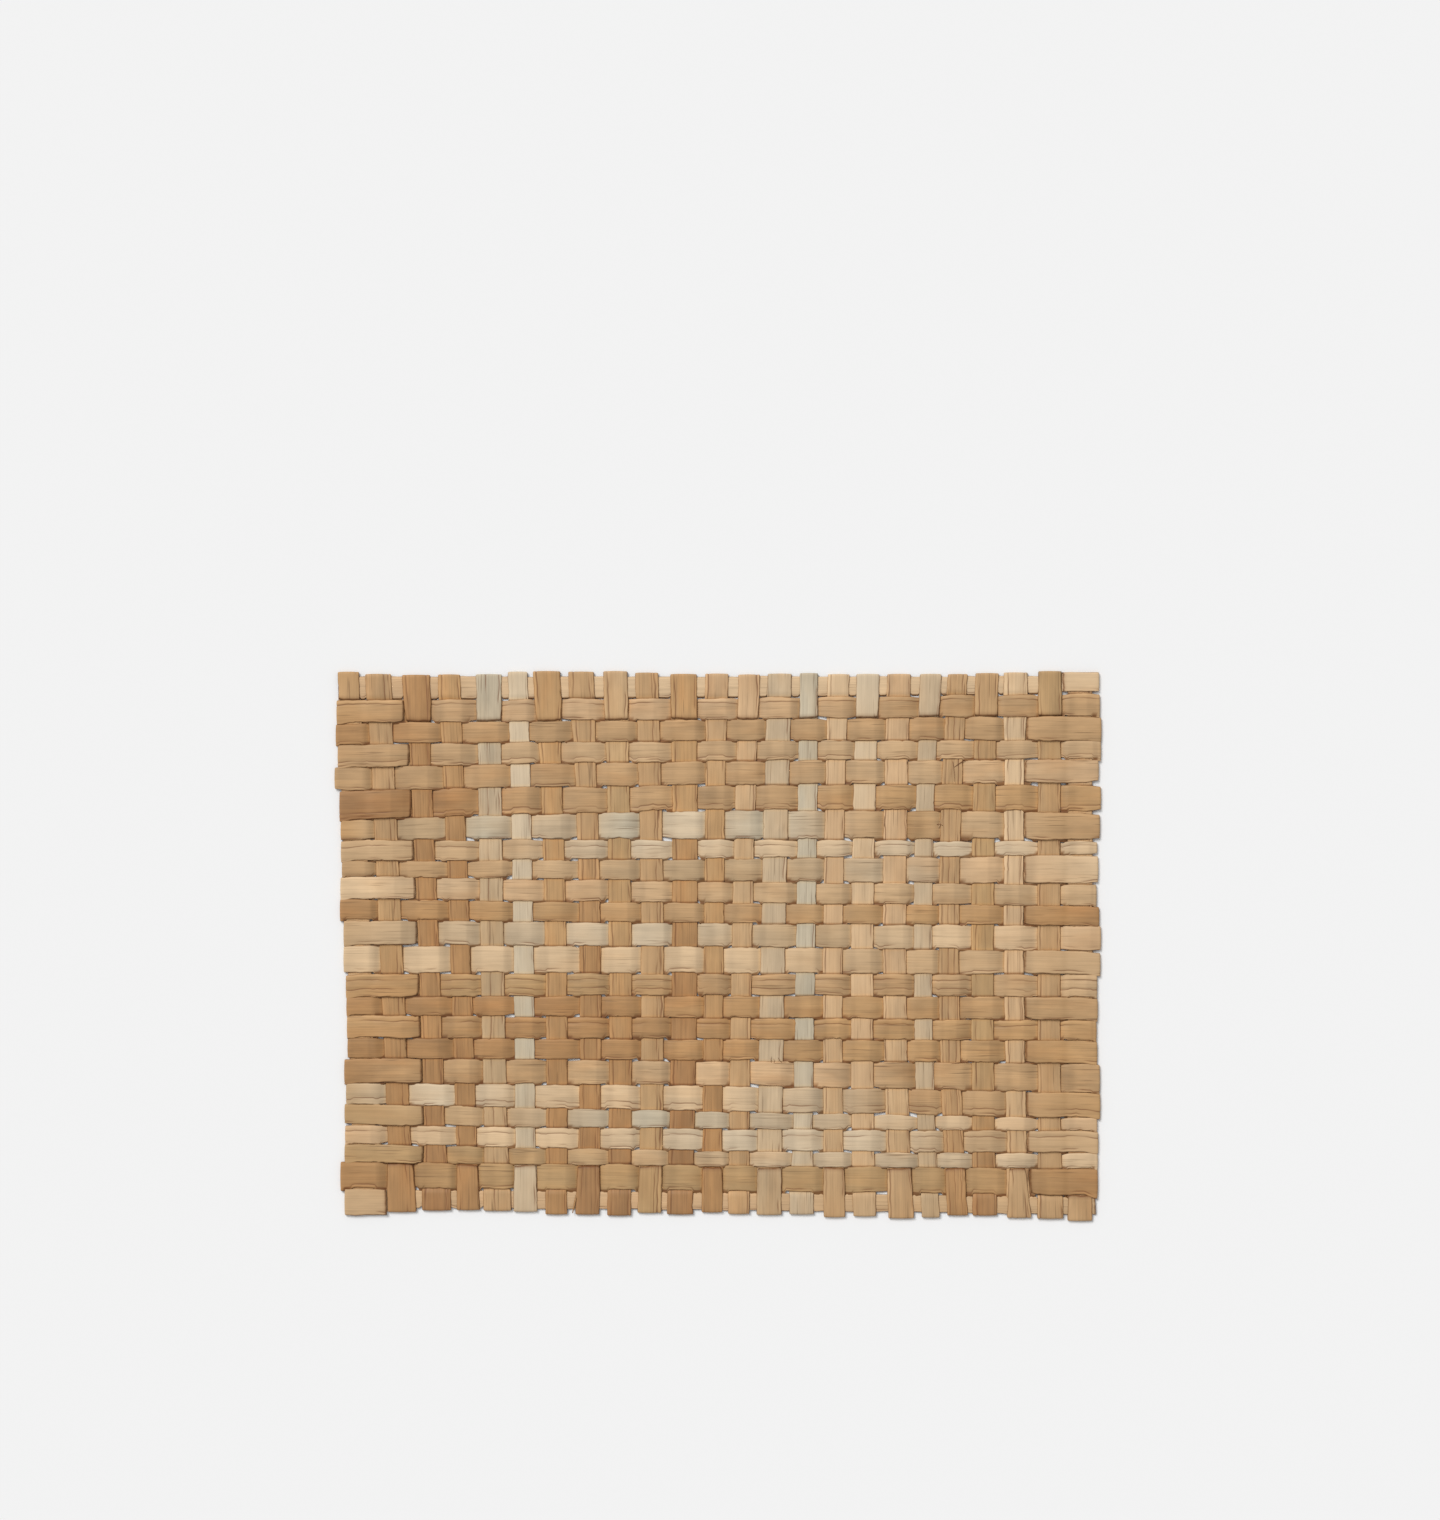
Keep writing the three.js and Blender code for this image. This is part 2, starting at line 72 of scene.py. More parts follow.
WARPS = [
    Strip((-221.8, -215.8, -212.2), (13.2, 14.4, 15.6), (164.9, -161.0), (),
          "golden peach straw tan tan"),
    Strip((-203.8, -196.5, -190.0), (15.6, 13.9, 17.4), (163.6, -160.0), (-0.45,),
          "tan tan golden caramel caramel"),
    Strip((-181.1, -174.0, -169.1), (16.9, 12.6, 17.4), (162.3, -159.1), (-0.7, 0.75),
          "caramel caramel caramel brown"),
    Strip((-161.4, -154.9, -150.1), (13.5, 12.3, 13.5), (163.3, -158.8), (0.7,),
          "golden caramel caramel caramel"),
    Strip((-137.7, -135.7, -132.6), (15.6, 14.2, 16.8), (163.1, -159.1), (0.2,),
          "mist sage grey grey tan"),
    Strip((-120.1, -116.9, -115.7), (11.8, 12.1, 14.4), (165.0, -159.8), (),
          "ivory ivory mist sage"),
    Strip((-102.4, -97.5, -97.2), (16.5, 12.9, 13.1), (165.3, -161.4), (0.72,),
          "golden golden golden caramel caramel"),
    Strip((-81.9, -76.8, -78.3), (15.6, 12.9, 14.4), (165.0, -161.5), (-0.62, 0.6),
          "tan tan caramel caramel brown"),
    Strip((-61.4, -58.7, -59.3), (14.8, 13.8, 14.4), (165.3, -162.1), (0.66,),
          "straw olive golden caramel brown"),
    Strip((-42.6, -39.4, -41.0), (13.8, 13.8, 14.3), (164.4, -160.5), (-0.68, -0.4),
          "tan tan tan olive"),
    Strip((-20.6, -20.0, -22.8), (16.2, 15.3, 15.6), (163.6, -161.4), (0.7,),
          "golden golden caramel brown brown"),
    Strip((-0.8, -2.5, -3.5), (13.9, 11.9, 12.7), (163.8, -160.2), (0.78,),
          "peach golden golden caramel caramel"),
    Strip((18.5, 14.4, 12.5), (12.9, 12.3, 12.9), (163.3, -161.2), (-0.75,),
          "peach straw tan tan"),
    Strip((36.9, 33.1, 30.7), (14.7, 14.8, 15.0), (162.9, -161.7), (),
          "sage sage sage sage grey"),
    Strip((54.6, 52.7, 50.2), (11.0, 11.7, 14.8), (164.1, -161.4), (),
          "mist mist mist sage"),
    Strip((72.2, 69.1, 69.9), (12.9, 11.8, 13.1), (163.3, -163.1), (0.74,),
          "cream peach peach straw tan"),
    Strip((90.0, 86.7, 87.9), (13.8, 13.6, 14.0), (162.6, -162.6), (),
          "ivory cream peach straw"),
    Strip((108.6, 106.1, 109.7), (14.3, 14.1, 15.3), (163.6, -163.8), (0.8,),
          "peach peach peach straw tan"),
    Strip((127.5, 123.1, 127.4), (12.9, 11.1, 10.8), (163.6, -163.3), (),
          "sage sage sage grey"),
    Strip((143.6, 138.8, 143.6), (12.0, 12.3, 12.3), (162.9, -162.0), (-0.55, 0.1, 0.68),
          "tan tan tan caramel"),
    Strip((161.4, 159.0, 160.3), (14.1, 13.6, 14.7), (164.1, -162.1), (0.6,),
          "tan olive olive brown"),
    Strip((178.9, 177.8, 180.7), (14.7, 12.0, 14.4), (164.5, -163.5), (-0.64, 0.62),
          "cream cream peach straw tan"),
    Strip((199.5, 198.9, 199.6), (14.5, 13.8, 15.6), (165.3, -164.0), (0.76,),
          "olive tan tan tan"),
    Strip((217.6, 217.6, 217.6), (15.0, 15.0, 15.0), (163.5, -165.3), (),
          "peach straw tan tan"),
]

WEFTS = [
    Strip((156.0, 156.6, 157.9), (12.0, 10.8, 8.7), (-229.3, 229.2), (),
          "peach cream cream cream"),
    Strip((141.2, 142.8, 144.8), (13.5, 12.6, 13.7), (-229.2, 229.6), (0.6,),
          "golden peach peach tan tan"),
    Strip((127.6, 129.8, 130.7), (12.6, 12.5, 14.7), (-229.8, 230.5), (),
          "caramel tan tan tan tan"),
    Strip((114.4, 117.3, 118.1), (13.8, 11.8, 11.1), (-228.5, 230.2), (-0.5,),
          "tan straw straw straw straw"),
    Strip((100.8, 104.0, 104.9), (14.1, 14.2, 14.0), (-230.5, 228.9), (),
          "tan tan tan straw peach"),
    Strip((84.9, 89.2, 89.0), (17.4, 14.4, 15.6), (-227.6, 230.2), (-0.55,),
          "brown caramel tan tan tan golden golden golden"),
    Strip((70.0, 72.9, 72.1), (12.3, 17.1, 16.3), (-226.1, 229.6), (),
          "golden grey grey mist sage sage mist ivory ivory mist sage straw golden straw straw tan tan"),
    Strip((57.5, 58.5, 58.9), (12.3, 11.0, 8.1), (-226.7, 228.0), (0.4,),
          "straw straw ivory cream ivory cream"),
    Strip((46.5, 45.9, 46.0), (9.2, 12.9, 16.9), (-226.1, 228.6), (),
          "tan tan straw grey grey sage peach cream"),
    Strip((35.1, 32.5, 30.8), (13.5, 12.3, 12.7), (-227.0, 227.6), (),
          "cream peach straw straw straw"),
    Strip((22.0, 19.9, 18.5), (12.0, 11.8, 11.7), (-227.3, 229.2), (),
          "caramel golden tan golden caramel"),
    Strip((8.2, 6.6, 4.8), (14.4, 13.7, 15.0), (-225.1, 230.2), (),
          "straw sage ivory grey cream peach"),
    Strip((-7.8, -8.4, -10.0), (16.2, 15.6, 14.0), (-225.1, 229.9), (),
          "cream cream cream straw straw"),
    Strip((-23.7, -23.1, -23.8), (13.8, 12.6, 13.6), (-223.0, 228.0), (-0.3, 0.5),
          "golden olive tan tan straw"),
    Strip((-35.9, -36.4, -37.5), (10.8, 12.9, 13.7), (-222.4, 228.3), (),
          "caramel caramel golden tan"),
    Strip((-48.2, -49.5, -50.5), (13.2, 12.4, 12.0), (-222.4, 227.6), (0.5,),
          "golden caramel golden golden"),
    Strip((-61.3, -62.3, -63.4), (12.3, 12.3, 13.7), (-221.5, 228.0), (),
          "caramel caramel golden golden"),
    Strip((-74.8, -76.4, -79.2), (14.7, 14.2, 17.3), (-224.7, 229.6), (),
          "caramel tan tan straw peach peach tan tan tan"),
    Strip((-88.8, -91.6, -95.3), (12.6, 15.0, 15.0), (-223.6, 229.8), (-0.4,),
          "grey ivory cream cream cream sage tan tan golden"),
    Strip((-101.2, -104.5, -106.9), (12.3, 10.1, 7.8), (-224.5, 228.0), (),
          "olive straw mist sage cream peach"),
    Strip((-113.2, -116.3, -117.3), (11.1, 12.9, 13.0), (-224.2, 228.6), (0.45,),
          "peach cream cream ivory ivory straw straw"),
    Strip((-124.5, -127.8, -128.8), (11.0, 9.6, 9.1), (-224.5, 228.3), (),
          "olive olive straw sage sage cream"),
    Strip((-137.5, -139.3, -141.5), (15.6, 15.3, 15.6), (-227.0, 228.3), (),
          "caramel olive olive olive caramel"),
    Strip((-152.4, -153.9, -156.6), (10.2, 9.6, 9.3), (-224.5, 228.4), (),
          "straw peach peach straw straw"),
]

COUNT = len(WEFTS)
TOP_RIGHT_FLAP = (153.0, 164.6)  # y limits of the first weft's flap
BOTTOM_LEFT_FLAP = (-161.7, -146.0)  # y limits of the last weft's flap

# Heights in millimetres: of the middle of the warps, and from there to the middle of a strip.
MID_HEIGHT = 1.40
HALF_THICK = 0.40
WEFT_RISE = 0.98  # of a weft at the middle of a warp, over or under it
WEFT_RISE_AT_SIDE = 0.80  # and at the warp's sides
WARP_RISE = 0.06  # of a warp that lies over a weft
EDGE_RISE = 0.88  # between an edge strip and the strips over and under it, and the turn's radius
STACK = 0.86  # from a strip to a flap that lies on it
FLAP_TIP_RISE = 0.2  # of the tip of a flap that dives beside the next warp
TIP_SLOPE = 0.25

# Distances in the plane of the mat, in millimetres.
FAR = 1e3  # farther than any place on the mat
STEP = 1.5  # between stations along a strip
LEAST_STEP = 0.3
CONTOUR = 0.5  # width of the sharp painted shadow line beside a covering strip
TURN_STEPS = 9
TURN_REACH = EDGE_RISE + HALF_THICK  # from the centre of a turn to the outline
LEAST_TURN = 0.15  # from an edge strip's side to the centre of the turn
BESIDE = 0.12  # kept on each side of the seam by strips that lie in one layer
OVERHANG = 1.3  # a strip may reach this far over or under its neighbour
RIM_MARGIN = 1  # on both sides of an edge warp's inner side, where the field passes into the rim
NARROW_FROM = 11.6  # width of a weft that starts to pinch
NARROW_RANGE = 2.5  # and how much narrower it is when it pinches fully
NARROW_LOW_PINCH = 0.3  # share added to the lower bulge of a narrow weft
NARROW_HIGH_PINCH = 0.7  # added to its upper bulge
LOW_BULGE_SPREAD = (0.6, 1.5)
HIGH_BULGE_SPREAD = (0.3, 1.9)
SWAY = (0.22, 150, 30)  # size and longest and shortest wave of a weft's own wander
WEFT_BITES = (7, 0.7)  # how many, and the deepest
WARP_BITES = (5, 0.5)
BITE_WIDTH = (0.8, 2.4)  # from the middle of a bite to its end, narrowest and widest
BITE_DEPTH = (0.25, 1)  # shares of the deepest
WAVE_FADE = 0.35  # power of a wave's length by which the short waves of a wander are smaller
WARP_RAGGEDNESS = 0.8  # against that of a weft
LEVEL_WITHIN = 0.32  # height from the middle layer within which wefts lie side by side
LEVEL_FADE = 0.25  # and the height over which that ends
CORNER_FADE = 0.6  # from a warp's side inwards, where a filled corner ends
FILLED_CORNERS = 0.72  # share of the corners where no gap is seen between the strips
LARGEST_CURL = 0.8  # how deep a filled corner curls down
UNDER_NEIGHBOUR = 1.1  # how far past the seam a filled corner reaches below the next weft
OPEN_SHARE = 0.6  # of the bulge that is drawn in at an open corner
FRAYED_STRETCH = (-192.0, -136.0)  # of the last weft's lower side
FRAY_BITES = 22  # in that stretch
FRAY_DEPTH = 2.2
LAST_BRIM_SHARE = 0.5  # of the bulge that the last weft but one keeps at its brim
FLAP_PINCH = 0.04  # share of a warp flap's width lost at its tip
PINCHED_FLAP = (22, -1)  # the warp and the end of the one flap that narrows much more
PINCHED_FLAP_SHARE = 0.3
FLAP_SETBACK = 0.35  # from a flap's tip to the strip that it dives beside
HIDDEN_SETBACK = 1.5  # of a hidden flap's tip from the inner side of the edge strip above it
NEAR_REACH = 1.7  # how far the painted warm bounce light beside a covering strip reaches
TURN_BLEND = 8  # from a turn to where a flap has its own sides
EDGE_TURN_BLEND = 6  # the same for the flaps of the two edge wefts
EDGE_PLAIN_BLEND = 12  # from an edge warp's inner side to where an edge weft has its own sides
TIP_DRAW_IN = 0.8  # of a weft flap's lower side at its tip
TIP_DRAW_REACH = 6  # how far from the tip it starts
TIP_SINK = 0.35  # of a warp flap's tip
TIP_SINK_REACH = 3

# Painted shade: darkness of the painted shadow lines where a strip comes out from below another,
# and how lightness changes, with painted shade past the bends.
RIGHT_LINE = 0.9  # on a weft, past a warp's shaded right side
LEFT_LINE = 0.2
BELOW_LINE = 0.45  # on a warp, below a weft
ABOVE_LINE = 0.1
TIP_LINE = (0.55, 0.7)  # darkness and reach of the painted shadow line at a weft flap's tip
# darkness and reach of the broader painted shade at a weft flap's tip
TIP_SHADE = (0.12, 4)
WARP_TIP_REACH = 2.2  # of the painted shade at a warp flap's tip
EDGE_TIP_REACH = 2  # of the painted shade at the tip of an edge weft's flap
LIFT_LOSS = 0.5  # of a warp's lift at the sides of a crossing
LIFT_LOSS_AT = (0.6, 0.6)  # where that starts, in half widths of the weft, and over how much
OWN_SHADE = 0.022  # spread from crossing to crossing
BEND_AT = (0.45, 1.05)  # where a weft bends over a warp, in half widths of the warp
LEAST_BEND_SHADE = [[-0.03], [0.03]]  # of the painted shade past the bend, on the left and on the right
MOST_BEND_SHADE = [[0.04], [0.15]]
BEND_WIDTH = 0.12  # of the bend's own edge, in half widths of the warp
BEND_END = (1.2, 0.6)  # where the darker stretch past a bend starts to end, and over how much
FLAP_SHADE_REACH = (12, 8)  # from a flap's tip to where its painted bend shade fades, and over how much

# A splinter of leaf that has come loose: where it is rooted, its heading and how far it turns, in
# degrees, and its length and width in millimetres.
Splinter = namedtuple("Splinter", "root heading turn length width tone")

SPLINTERS = [
    Splinter((32.4, -70.8, 2.35), 112, -40, 4.4, 0.42, "stain"),
    Splinter((33.4, -70.4, 2.40), 60, 70, 2.8, 0.38, "stain"),
    Splinter((38.4, -69.8, 2.35), 150, -50, 3.8, 0.40, "stain"),
    Splinter((33.1, -70.3, 2.50), 0, 5, 7.6, 0.34, "brown"),
    Splinter((132.4, 71.0, 1.80), 63, 25, 5.4, 0.60, "peach"),
    Splinter((131.4, 73.0, 1.90), 15, -60, 4.0, 0.42, "stain"),
    Splinter((148.4, 111.7, 1.95), 209, 10, 7.8, 0.55, "stain"),
    Splinter((141.1, 110.8, 1.80), -80, -12, 12.0, 0.36, "stain"),
    Splinter((153.8, -69.4, 2.45), 184, 4, 16.0, 0.50, "stain"),
    Splinter((-84.4, -148.4, 2.30), 253, 7, 12.4, 1.50, "caramel"),
]
SPLINTER_POINTS = 10
SPLINTER_RISE = 0.25  # of the middle of a splinter above its ends
SPLINTER_TAPER = 0.6  # share of its width lost at the tip
THICKEST_SPLINTER = 0.16


class LeafStripSettings(bpy.types.PropertyGroup):
    """Sizes that every folded strip shares."""

    lower_bulge: FloatProperty(
        name="Lower Bulge", description="How far a weft's lower side bulges over a warp",
        default=1.25 * MM, unit="LENGTH")
    upper_bulge: FloatProperty(
        name="Upper Bulge", description="How far a weft's upper side bulges over a warp",
        default=0.5 * MM, unit="LENGTH")
    pleat_depth: FloatProperty(
        name="Pleat Depth", description="Depth of the lengthwise creases",
        default=0.2 * MM, unit="LENGTH")
    raggedness: FloatProperty(
        name="Raggedness", description="How far a strip's sides wander",
        default=0.2 * MM, unit="LENGTH")


def tone(name, colour, description):
    return FloatVectorProperty(
        name=name, description=description, default=[c / 255 for c in colour],
        subtype="COLOR_GAMMA", min=0, max=1)


class LeafToneSettings(bpy.types.PropertyGroup):
    """Colours of dried leaf met along the strips."""

    ivory: tone("Ivory", (203, 182, 152), "Palest leaf, slightly green")
    cream: tone("Cream", (209, 179, 141), "Pale warm leaf")
    peach: tone("Peach", (199, 164, 124), "Pale pinkish leaf")
    straw: tone("Straw", (193, 160, 120), "Pale yellowish leaf")
    sage: tone("Sage", (191, 167, 135), "Pale grey-green leaf")
    mist: tone("Mist", (188, 174, 149), "Palest grey-green leaf")
    grey: tone("Grey", (182, 153, 116), "Greyer, duller leaf")
    olive: tone("Olive", (178, 144, 100), "Olive-gold leaf")
    tan: tone("Tan", (183, 147, 105), "Plain tan leaf")
    golden: tone("Golden", (184, 145, 99), "Warm golden leaf")
    caramel: tone("Caramel", (170, 128, 83), "Dark caramel leaf")
    rosy: tone("Rosy", (184, 142, 102), "Reddish tan leaf")
    brown: tone("Brown", (158, 117, 76), "Darkest leaf")
    # Stain also darkens a strip's sides as a painted contact shadow line.
    stain: tone("Stain", (112, 66, 34), "Dark brown of creases and torn sides")


class StageSettings(bpy.types.PropertyGroup):
    """The floor, light and camera."""

    floor_colour: FloatVectorProperty(
        name="Floor Colour", description="Pale floor", default=(0.86, 0.86, 0.86),
        subtype="COLOR", min=0, max=1)
    key_strength: FloatProperty(
        name="Key Strength", description="Strength of the broad key light", default=2.3, min=0)
    key_softness: FloatProperty(
        name="Key Softness", description="Angle that the key light fills", default=0.5,
        subtype="ANGLE")
    sky_strength: FloatProperty(
        name="Sky Strength", description="Strength of the even light from all round",
        default=0.49, min=0)
    camera_lens: FloatProperty(
        name="Camera Lens", description="Focal length in millimetres", default=100, min=10)
    picture_height: FloatProperty(
        name="Picture Height", description="Length of floor that the picture takes in",
        default=0.9135, unit="LENGTH")


# Curves that strips follow

def bow(readings, share):
    """A smooth curve through three readings; share is 1 at the first and -1 at the last."""
    first, middle, last = readings
    return middle + (first - last) / 2 * share + ((first + last) / 2 - middle) * share**2


def runs(readings, share):
    """Straight runs through three readings, level beyond the first and last."""
    first, middle, last = readings
    end = np.where(share > 0, first, last)
    return middle + (end - middle) * np.minimum(np.abs(share), 1)


def smooth(value):
    t = np.clip(value, 0, 1)
    return t * t * (3 - 2 * t)


def hermite(at, knots, values, slopes):
    """A curve through values with the given slopes at rising knots, level beyond them."""
    knots, values, slopes = (np.asarray(a, float) for a in (knots, values, slopes))
    at = np.clip(at, knots[0], knots[-1])
    k = np.clip(np.searchsorted(knots, at, side="right") - 1, 0, len(knots) - 2)
    span = knots[k + 1] - knots[k]
    t = (at - knots[k]) / span
    return ((2 * t**3 - 3 * t**2 + 1) * values[k] + (t**3 - 2 * t**2 + t) * span * slopes[k]
            + (3 * t**2 - 2 * t**3) * values[k + 1] + (t**3 - t**2) * span * slopes[k + 1])


def wavering(rng, size, longest=60.0, shortest=6.0, count=6):
    """A seeded smooth wander of about size, as a function of the distance along a strip."""
    lengths = np.geomspace(longest, shortest, count)
    starts = rng.uniform(0, TAU, count)
    shares = rng.uniform(0.5, 1, count) * (lengths / longest) ** WAVE_FADE
    shares *= size / np.linalg.norm(shares)

    def wander(at):
        at = np.asarray(at, float)[..., None]
        return (shares * np.sin(at * TAU / lengths + starts)).sum(-1)

    return wander


def torn(rng, start, end, count, deepest):
    """Small seeded bites out of a strip's side, as a function of the distance along it."""
    places = rng.uniform(start, end, count)
    widths = rng.uniform(*BITE_WIDTH, count)
    depths = rng.uniform(*BITE_DEPTH, count) * deepest

    def bite(at):
        away = np.abs(np.asarray(at, float)[..., None] - places) / widths
        return (depths * np.clip(1 - away, 0, 1)).max(-1)

    return bite


# Where the strips lie

def warp_sides(number, y):
    """The left and right side of a warp at y."""
    strip = WARPS[number - 1]
    share = np.asarray(y, float) / WARP_READ_Y
    change = (np.abs(share) - WIDTH_CHANGE[0]) / (WIDTH_CHANGE[1] - WIDTH_CHANGE[0])
    half = runs(strip.width, np.sign(share) * np.clip(change, 0, 1)) / 2
    centre = bow(strip.centre, share)
    return centre - half, centre + half


def weft_centre(number, x):
    return bow(WEFTS[number - 1].centre, -np.asarray(x, float) / WEFT_READ_X)


def weft_full(number, x):
    """The lower and upper side of a weft where it lies widest."""
    strip = WEFTS[number - 1]
    share = -np.asarray(x, float) / WEFT_READ_X
    half = runs(strip.width, share) / 2
    centre = bow(strip.centre, share)
    return centre - half, centre + half


def weft_is_over(weft, warp):
    return (weft + warp) % 2 == 0


def crossings(weft):
    """The left and right sides of all warps where a weft crosses them."""
    sides = [warp_sides(w, weft_centre(weft, WARPS[w - 1].centre[1]))
             for w in range(1, COUNT + 1)]
    left, right = np.array(sides).T
    return left, right


# Part of a strip's path. along runs along the strip and low and high are its two sides, which
# are measured across it. lift is 1 where the face that leads its turns lies free and -1 where
# the other does. tuck is painted shade: 1 where the strip lies hidden under another, and the
# darkness of the painted shadow line beside a strip that covers it or at a flap's tip. shade is the
# leaf's lightness with painted shade past its bends and a random change from crossing to crossing.
# near is 1 right beside a strip that covers it, and 0 away from it; it sets the painted warm bounce
# light there. Below brim, the low side curls down into the weave, where it is painted dark.
Run = namedtuple("Run", "along height low high lift tuck shade near brim")


def stretch(along, height, low, high, lift, tuck=0.0, shade=1.0, near=0.0, brim=-FAR):
    along = np.asarray(along, float)
    return Run(along, *(np.broadcast_to(np.asarray(v, float), along.shape)
                        for v in (height, low, high, lift, tuck, shade, near, brim)))


def joined(parts):
    return Run(*(np.concatenate(fields) for fields in zip(*parts)))


def backwards(run):
    return Run(*(field[::-1] for field in run))


def stations(start, end):
    """Places from start up to and without end, about a step apart."""
    count = max(2, math.ceil(abs(end - start) / STEP))
    return np.linspace(start, end, count, endpoint=False)


def with_contours(along, added):
    """Rising stations, with the added ones in place of any that lie close to them."""
    added = added[(added > along[0]) & (added < along[-1])]
    apart = np.abs(along[:, None] - added).min(1) > LEAST_STEP
    return np.sort(np.concatenate([along[apart], added]))


def half_turn(centre, side, low, high, lift, from_top):
    """The turn around an edge strip on one side of the mat, from the top layer to the lowest."""
    angles = np.linspace(math.pi / 2, -math.pi / 2, TURN_STEPS)
    along = centre + side * EDGE_RISE * np.cos(angles)
    run = stretch(along, MID_HEIGHT + EDGE_RISE * np.sin(angles), low, high, lift)
    return run if from_top else backwards(run)


def turn_centre(side, edge, outline):
    return side * max(side * edge + LEAST_TURN, side * outline - TURN_REACH)


# Wefts

class Weft:
    """The sides and heights of one weft, as functions of x."""

    def __init__(self, number, settings):
        self.number = number
        self.strip = WEFTS[number - 1]
        self.rng = np.random.default_rng(500 + number)
        self.left, self.right = crossings(number)
        self.over = np.array([weft_is_over(number, w) for w in range(1, COUNT + 1)])
        self.centre = (self.left + self.right) / 2
        self.half = (self.right - self.left) / 2
        # Narrow wefts pinch more, on both sides, where they dive.
        low, high = weft_full(number, self.centre)
        narrow = np.clip((NARROW_FROM - (high - low)) / NARROW_RANGE, 0, 1)
        self.low_bulge = settings.lower_bulge / MM * self.rng.uniform(*LOW_BULGE_SPREAD, COUNT)
        self.high_bulge = settings.upper_bulge / MM * self.rng.uniform(*HIGH_BULGE_SPREAD, COUNT)
        self.low_bulge *= 1 + NARROW_LOW_PINCH * narrow
        self.high_bulge += NARROW_HIGH_PINCH * narrow
        self.sway = wavering(self.rng, *SWAY)
        filled_share = 1 if number == 1 else FILLED_CORNERS
        self.filled = (self.rng.uniform(0, 1, (2, COUNT)) < filled_share).astype(float)
        self.own_shade = self.rng.normal(0, OWN_SHADE, COUNT)
        self.bend_at = self.rng.uniform(*BEND_AT, (2, COUNT))
        self.bend_shade = self.rng.uniform(LEAST_BEND_SHADE, MOST_BEND_SHADE, (2, COUNT))
        ragged = settings.raggedness / MM
        start, end = self.strip.ends
        self.wander = [wavering(self.rng, ragged) for _ in range(4)]
        self.bites = [torn(self.rng, start, end, *WEFT_BITES) for _ in range(4)]
        self.edge_strip = number in (1, COUNT)
        if number == COUNT:
            self.bites[0] = torn(self.rng, *FRAYED_STRETCH, FRAY_BITES, FRAY_DEPTH)

    def recede(self, x, bulges):
        """How far a side draws in from where it is widest: it does where the weft dives."""
        over = np.flatnonzero(self.over)
        reach = np.where(over < COUNT - 1, self.left[np.minimum(over + 1, COUNT - 1)],
                         2 * self.centre[over] - self.right[over - 1])
        start = np.where(over > 0, self.right[over - 1],
                         2 * self.centre[over] - self.left[np.minimum(over + 1, COUNT - 1)])
        middle, half = (start + reach) / 2, (reach - start) / 2
        nearest = np.abs(x[:, None] - middle).argmin(1)
        t = np.abs(x - middle[nearest]) / half[nearest]
        inside = bulges[over][nearest] * np.clip(t, 0, 1) ** 3
        knots = np.stack([start, reach], 1).ravel()
        outside = np.interp(x, knots, np.repeat(bulges[over], 2))
        return np.where(t < 1, inside, outside)

    def beside_neighbours(self, x):
        """1 midway between two warps, where this weft is level with its neighbours, else 0."""
        return 1 - smooth((np.abs(self.height(x) - MID_HEIGHT) - LEVEL_WITHIN) / LEVEL_FADE)

    def seam_below(self, x):
        """Midway to the weft below."""
        return (weft_full(self.number, x)[0] + weft_full(self.number + 1, x)[1]) / 2

    def within_seams(self, x, low, high):
        """Keeps the sides off the neighbours' where all lie level, and never far over them."""
        level = self.beside_neighbours(x)
        rim = np.maximum(smooth((self.right[0] + RIM_MARGIN - x) / (2 * RIM_MARGIN)),
                         smooth((x - self.left[-1] + RIM_MARGIN) / (2 * RIM_MARGIN)))
        least = BESIDE * level - OVERHANG * (1 - np.maximum(level, rim))
        if 1 < self.number < COUNT - 1:
            low = np.maximum(low, self.seam_below(x) + least)
        if 2 < self.number < COUNT:
            seam = (weft_full(self.number, x)[1] + weft_full(self.number - 1, x)[0]) / 2
            high = np.minimum(high, seam - least)
        return low, high

    def fill(self, x):
        """1 at the low corners where the leaf curls down and fills the weave, 0 at open ones."""
        warp = np.abs(x[:, None] - self.centre).argmin(1)
        return self.filled[(x > self.centre[warp]).astype(int), warp]

    def between_warps(self, x):
        warp = np.abs(x[:, None] - self.centre).argmin(1)
        return smooth((np.abs(x - self.centre[warp]) - self.half[warp]) / CORNER_FADE + 1)

    def sides(self, x, flap=False):
        x = np.atleast_1d(np.asarray(x, float))
        low, high = weft_full(self.number, x)
        pick = 2 if flap else 0
        low = low + self.sway(x) + self.wander[pick](x) + self.bites[pick](x)
        high = high + self.sway(x) + self.wander[pick + 1](x) - self.bites[pick + 1](x)
        if flap:
            return self.within_seams(x, low, high)
        if not self.edge_strip:
            low = low + OPEN_SHARE * self.recede(x, self.low_bulge) * (1 - self.fill(x))
            high = high - self.recede(x, self.high_bulge)
        low, high = self.within_seams(x, low, high)
        if self.number == COUNT:
            seam = (weft_full(COUNT, x)[1] + weft_full(COUNT - 1, x)[0]) / 2
            high = high + (seam - BESIDE - high) * self.between_warps(x)
        else:
            under = np.minimum(low, self.seam_below(x) - UNDER_NEIGHBOUR)
            low = low + (under - low) * self.fill(x) * self.between_warps(x)
        return low, high

    def brim(self, x):
        """The lower side of the part that shows: below it the leaf curls down at the corners."""
        full = weft_full(self.number, x)[0] + self.sway(x)
        if self.edge_strip:
            return np.minimum(full, self.seam_below(x))
        share = LAST_BRIM_SHARE if self.number == COUNT - 1 else 1
        full = full + self.recede(x, self.low_bulge) * share
        if self.number < COUNT:
            full = np.maximum(full, self.seam_below(x) + BESIDE)
        return full

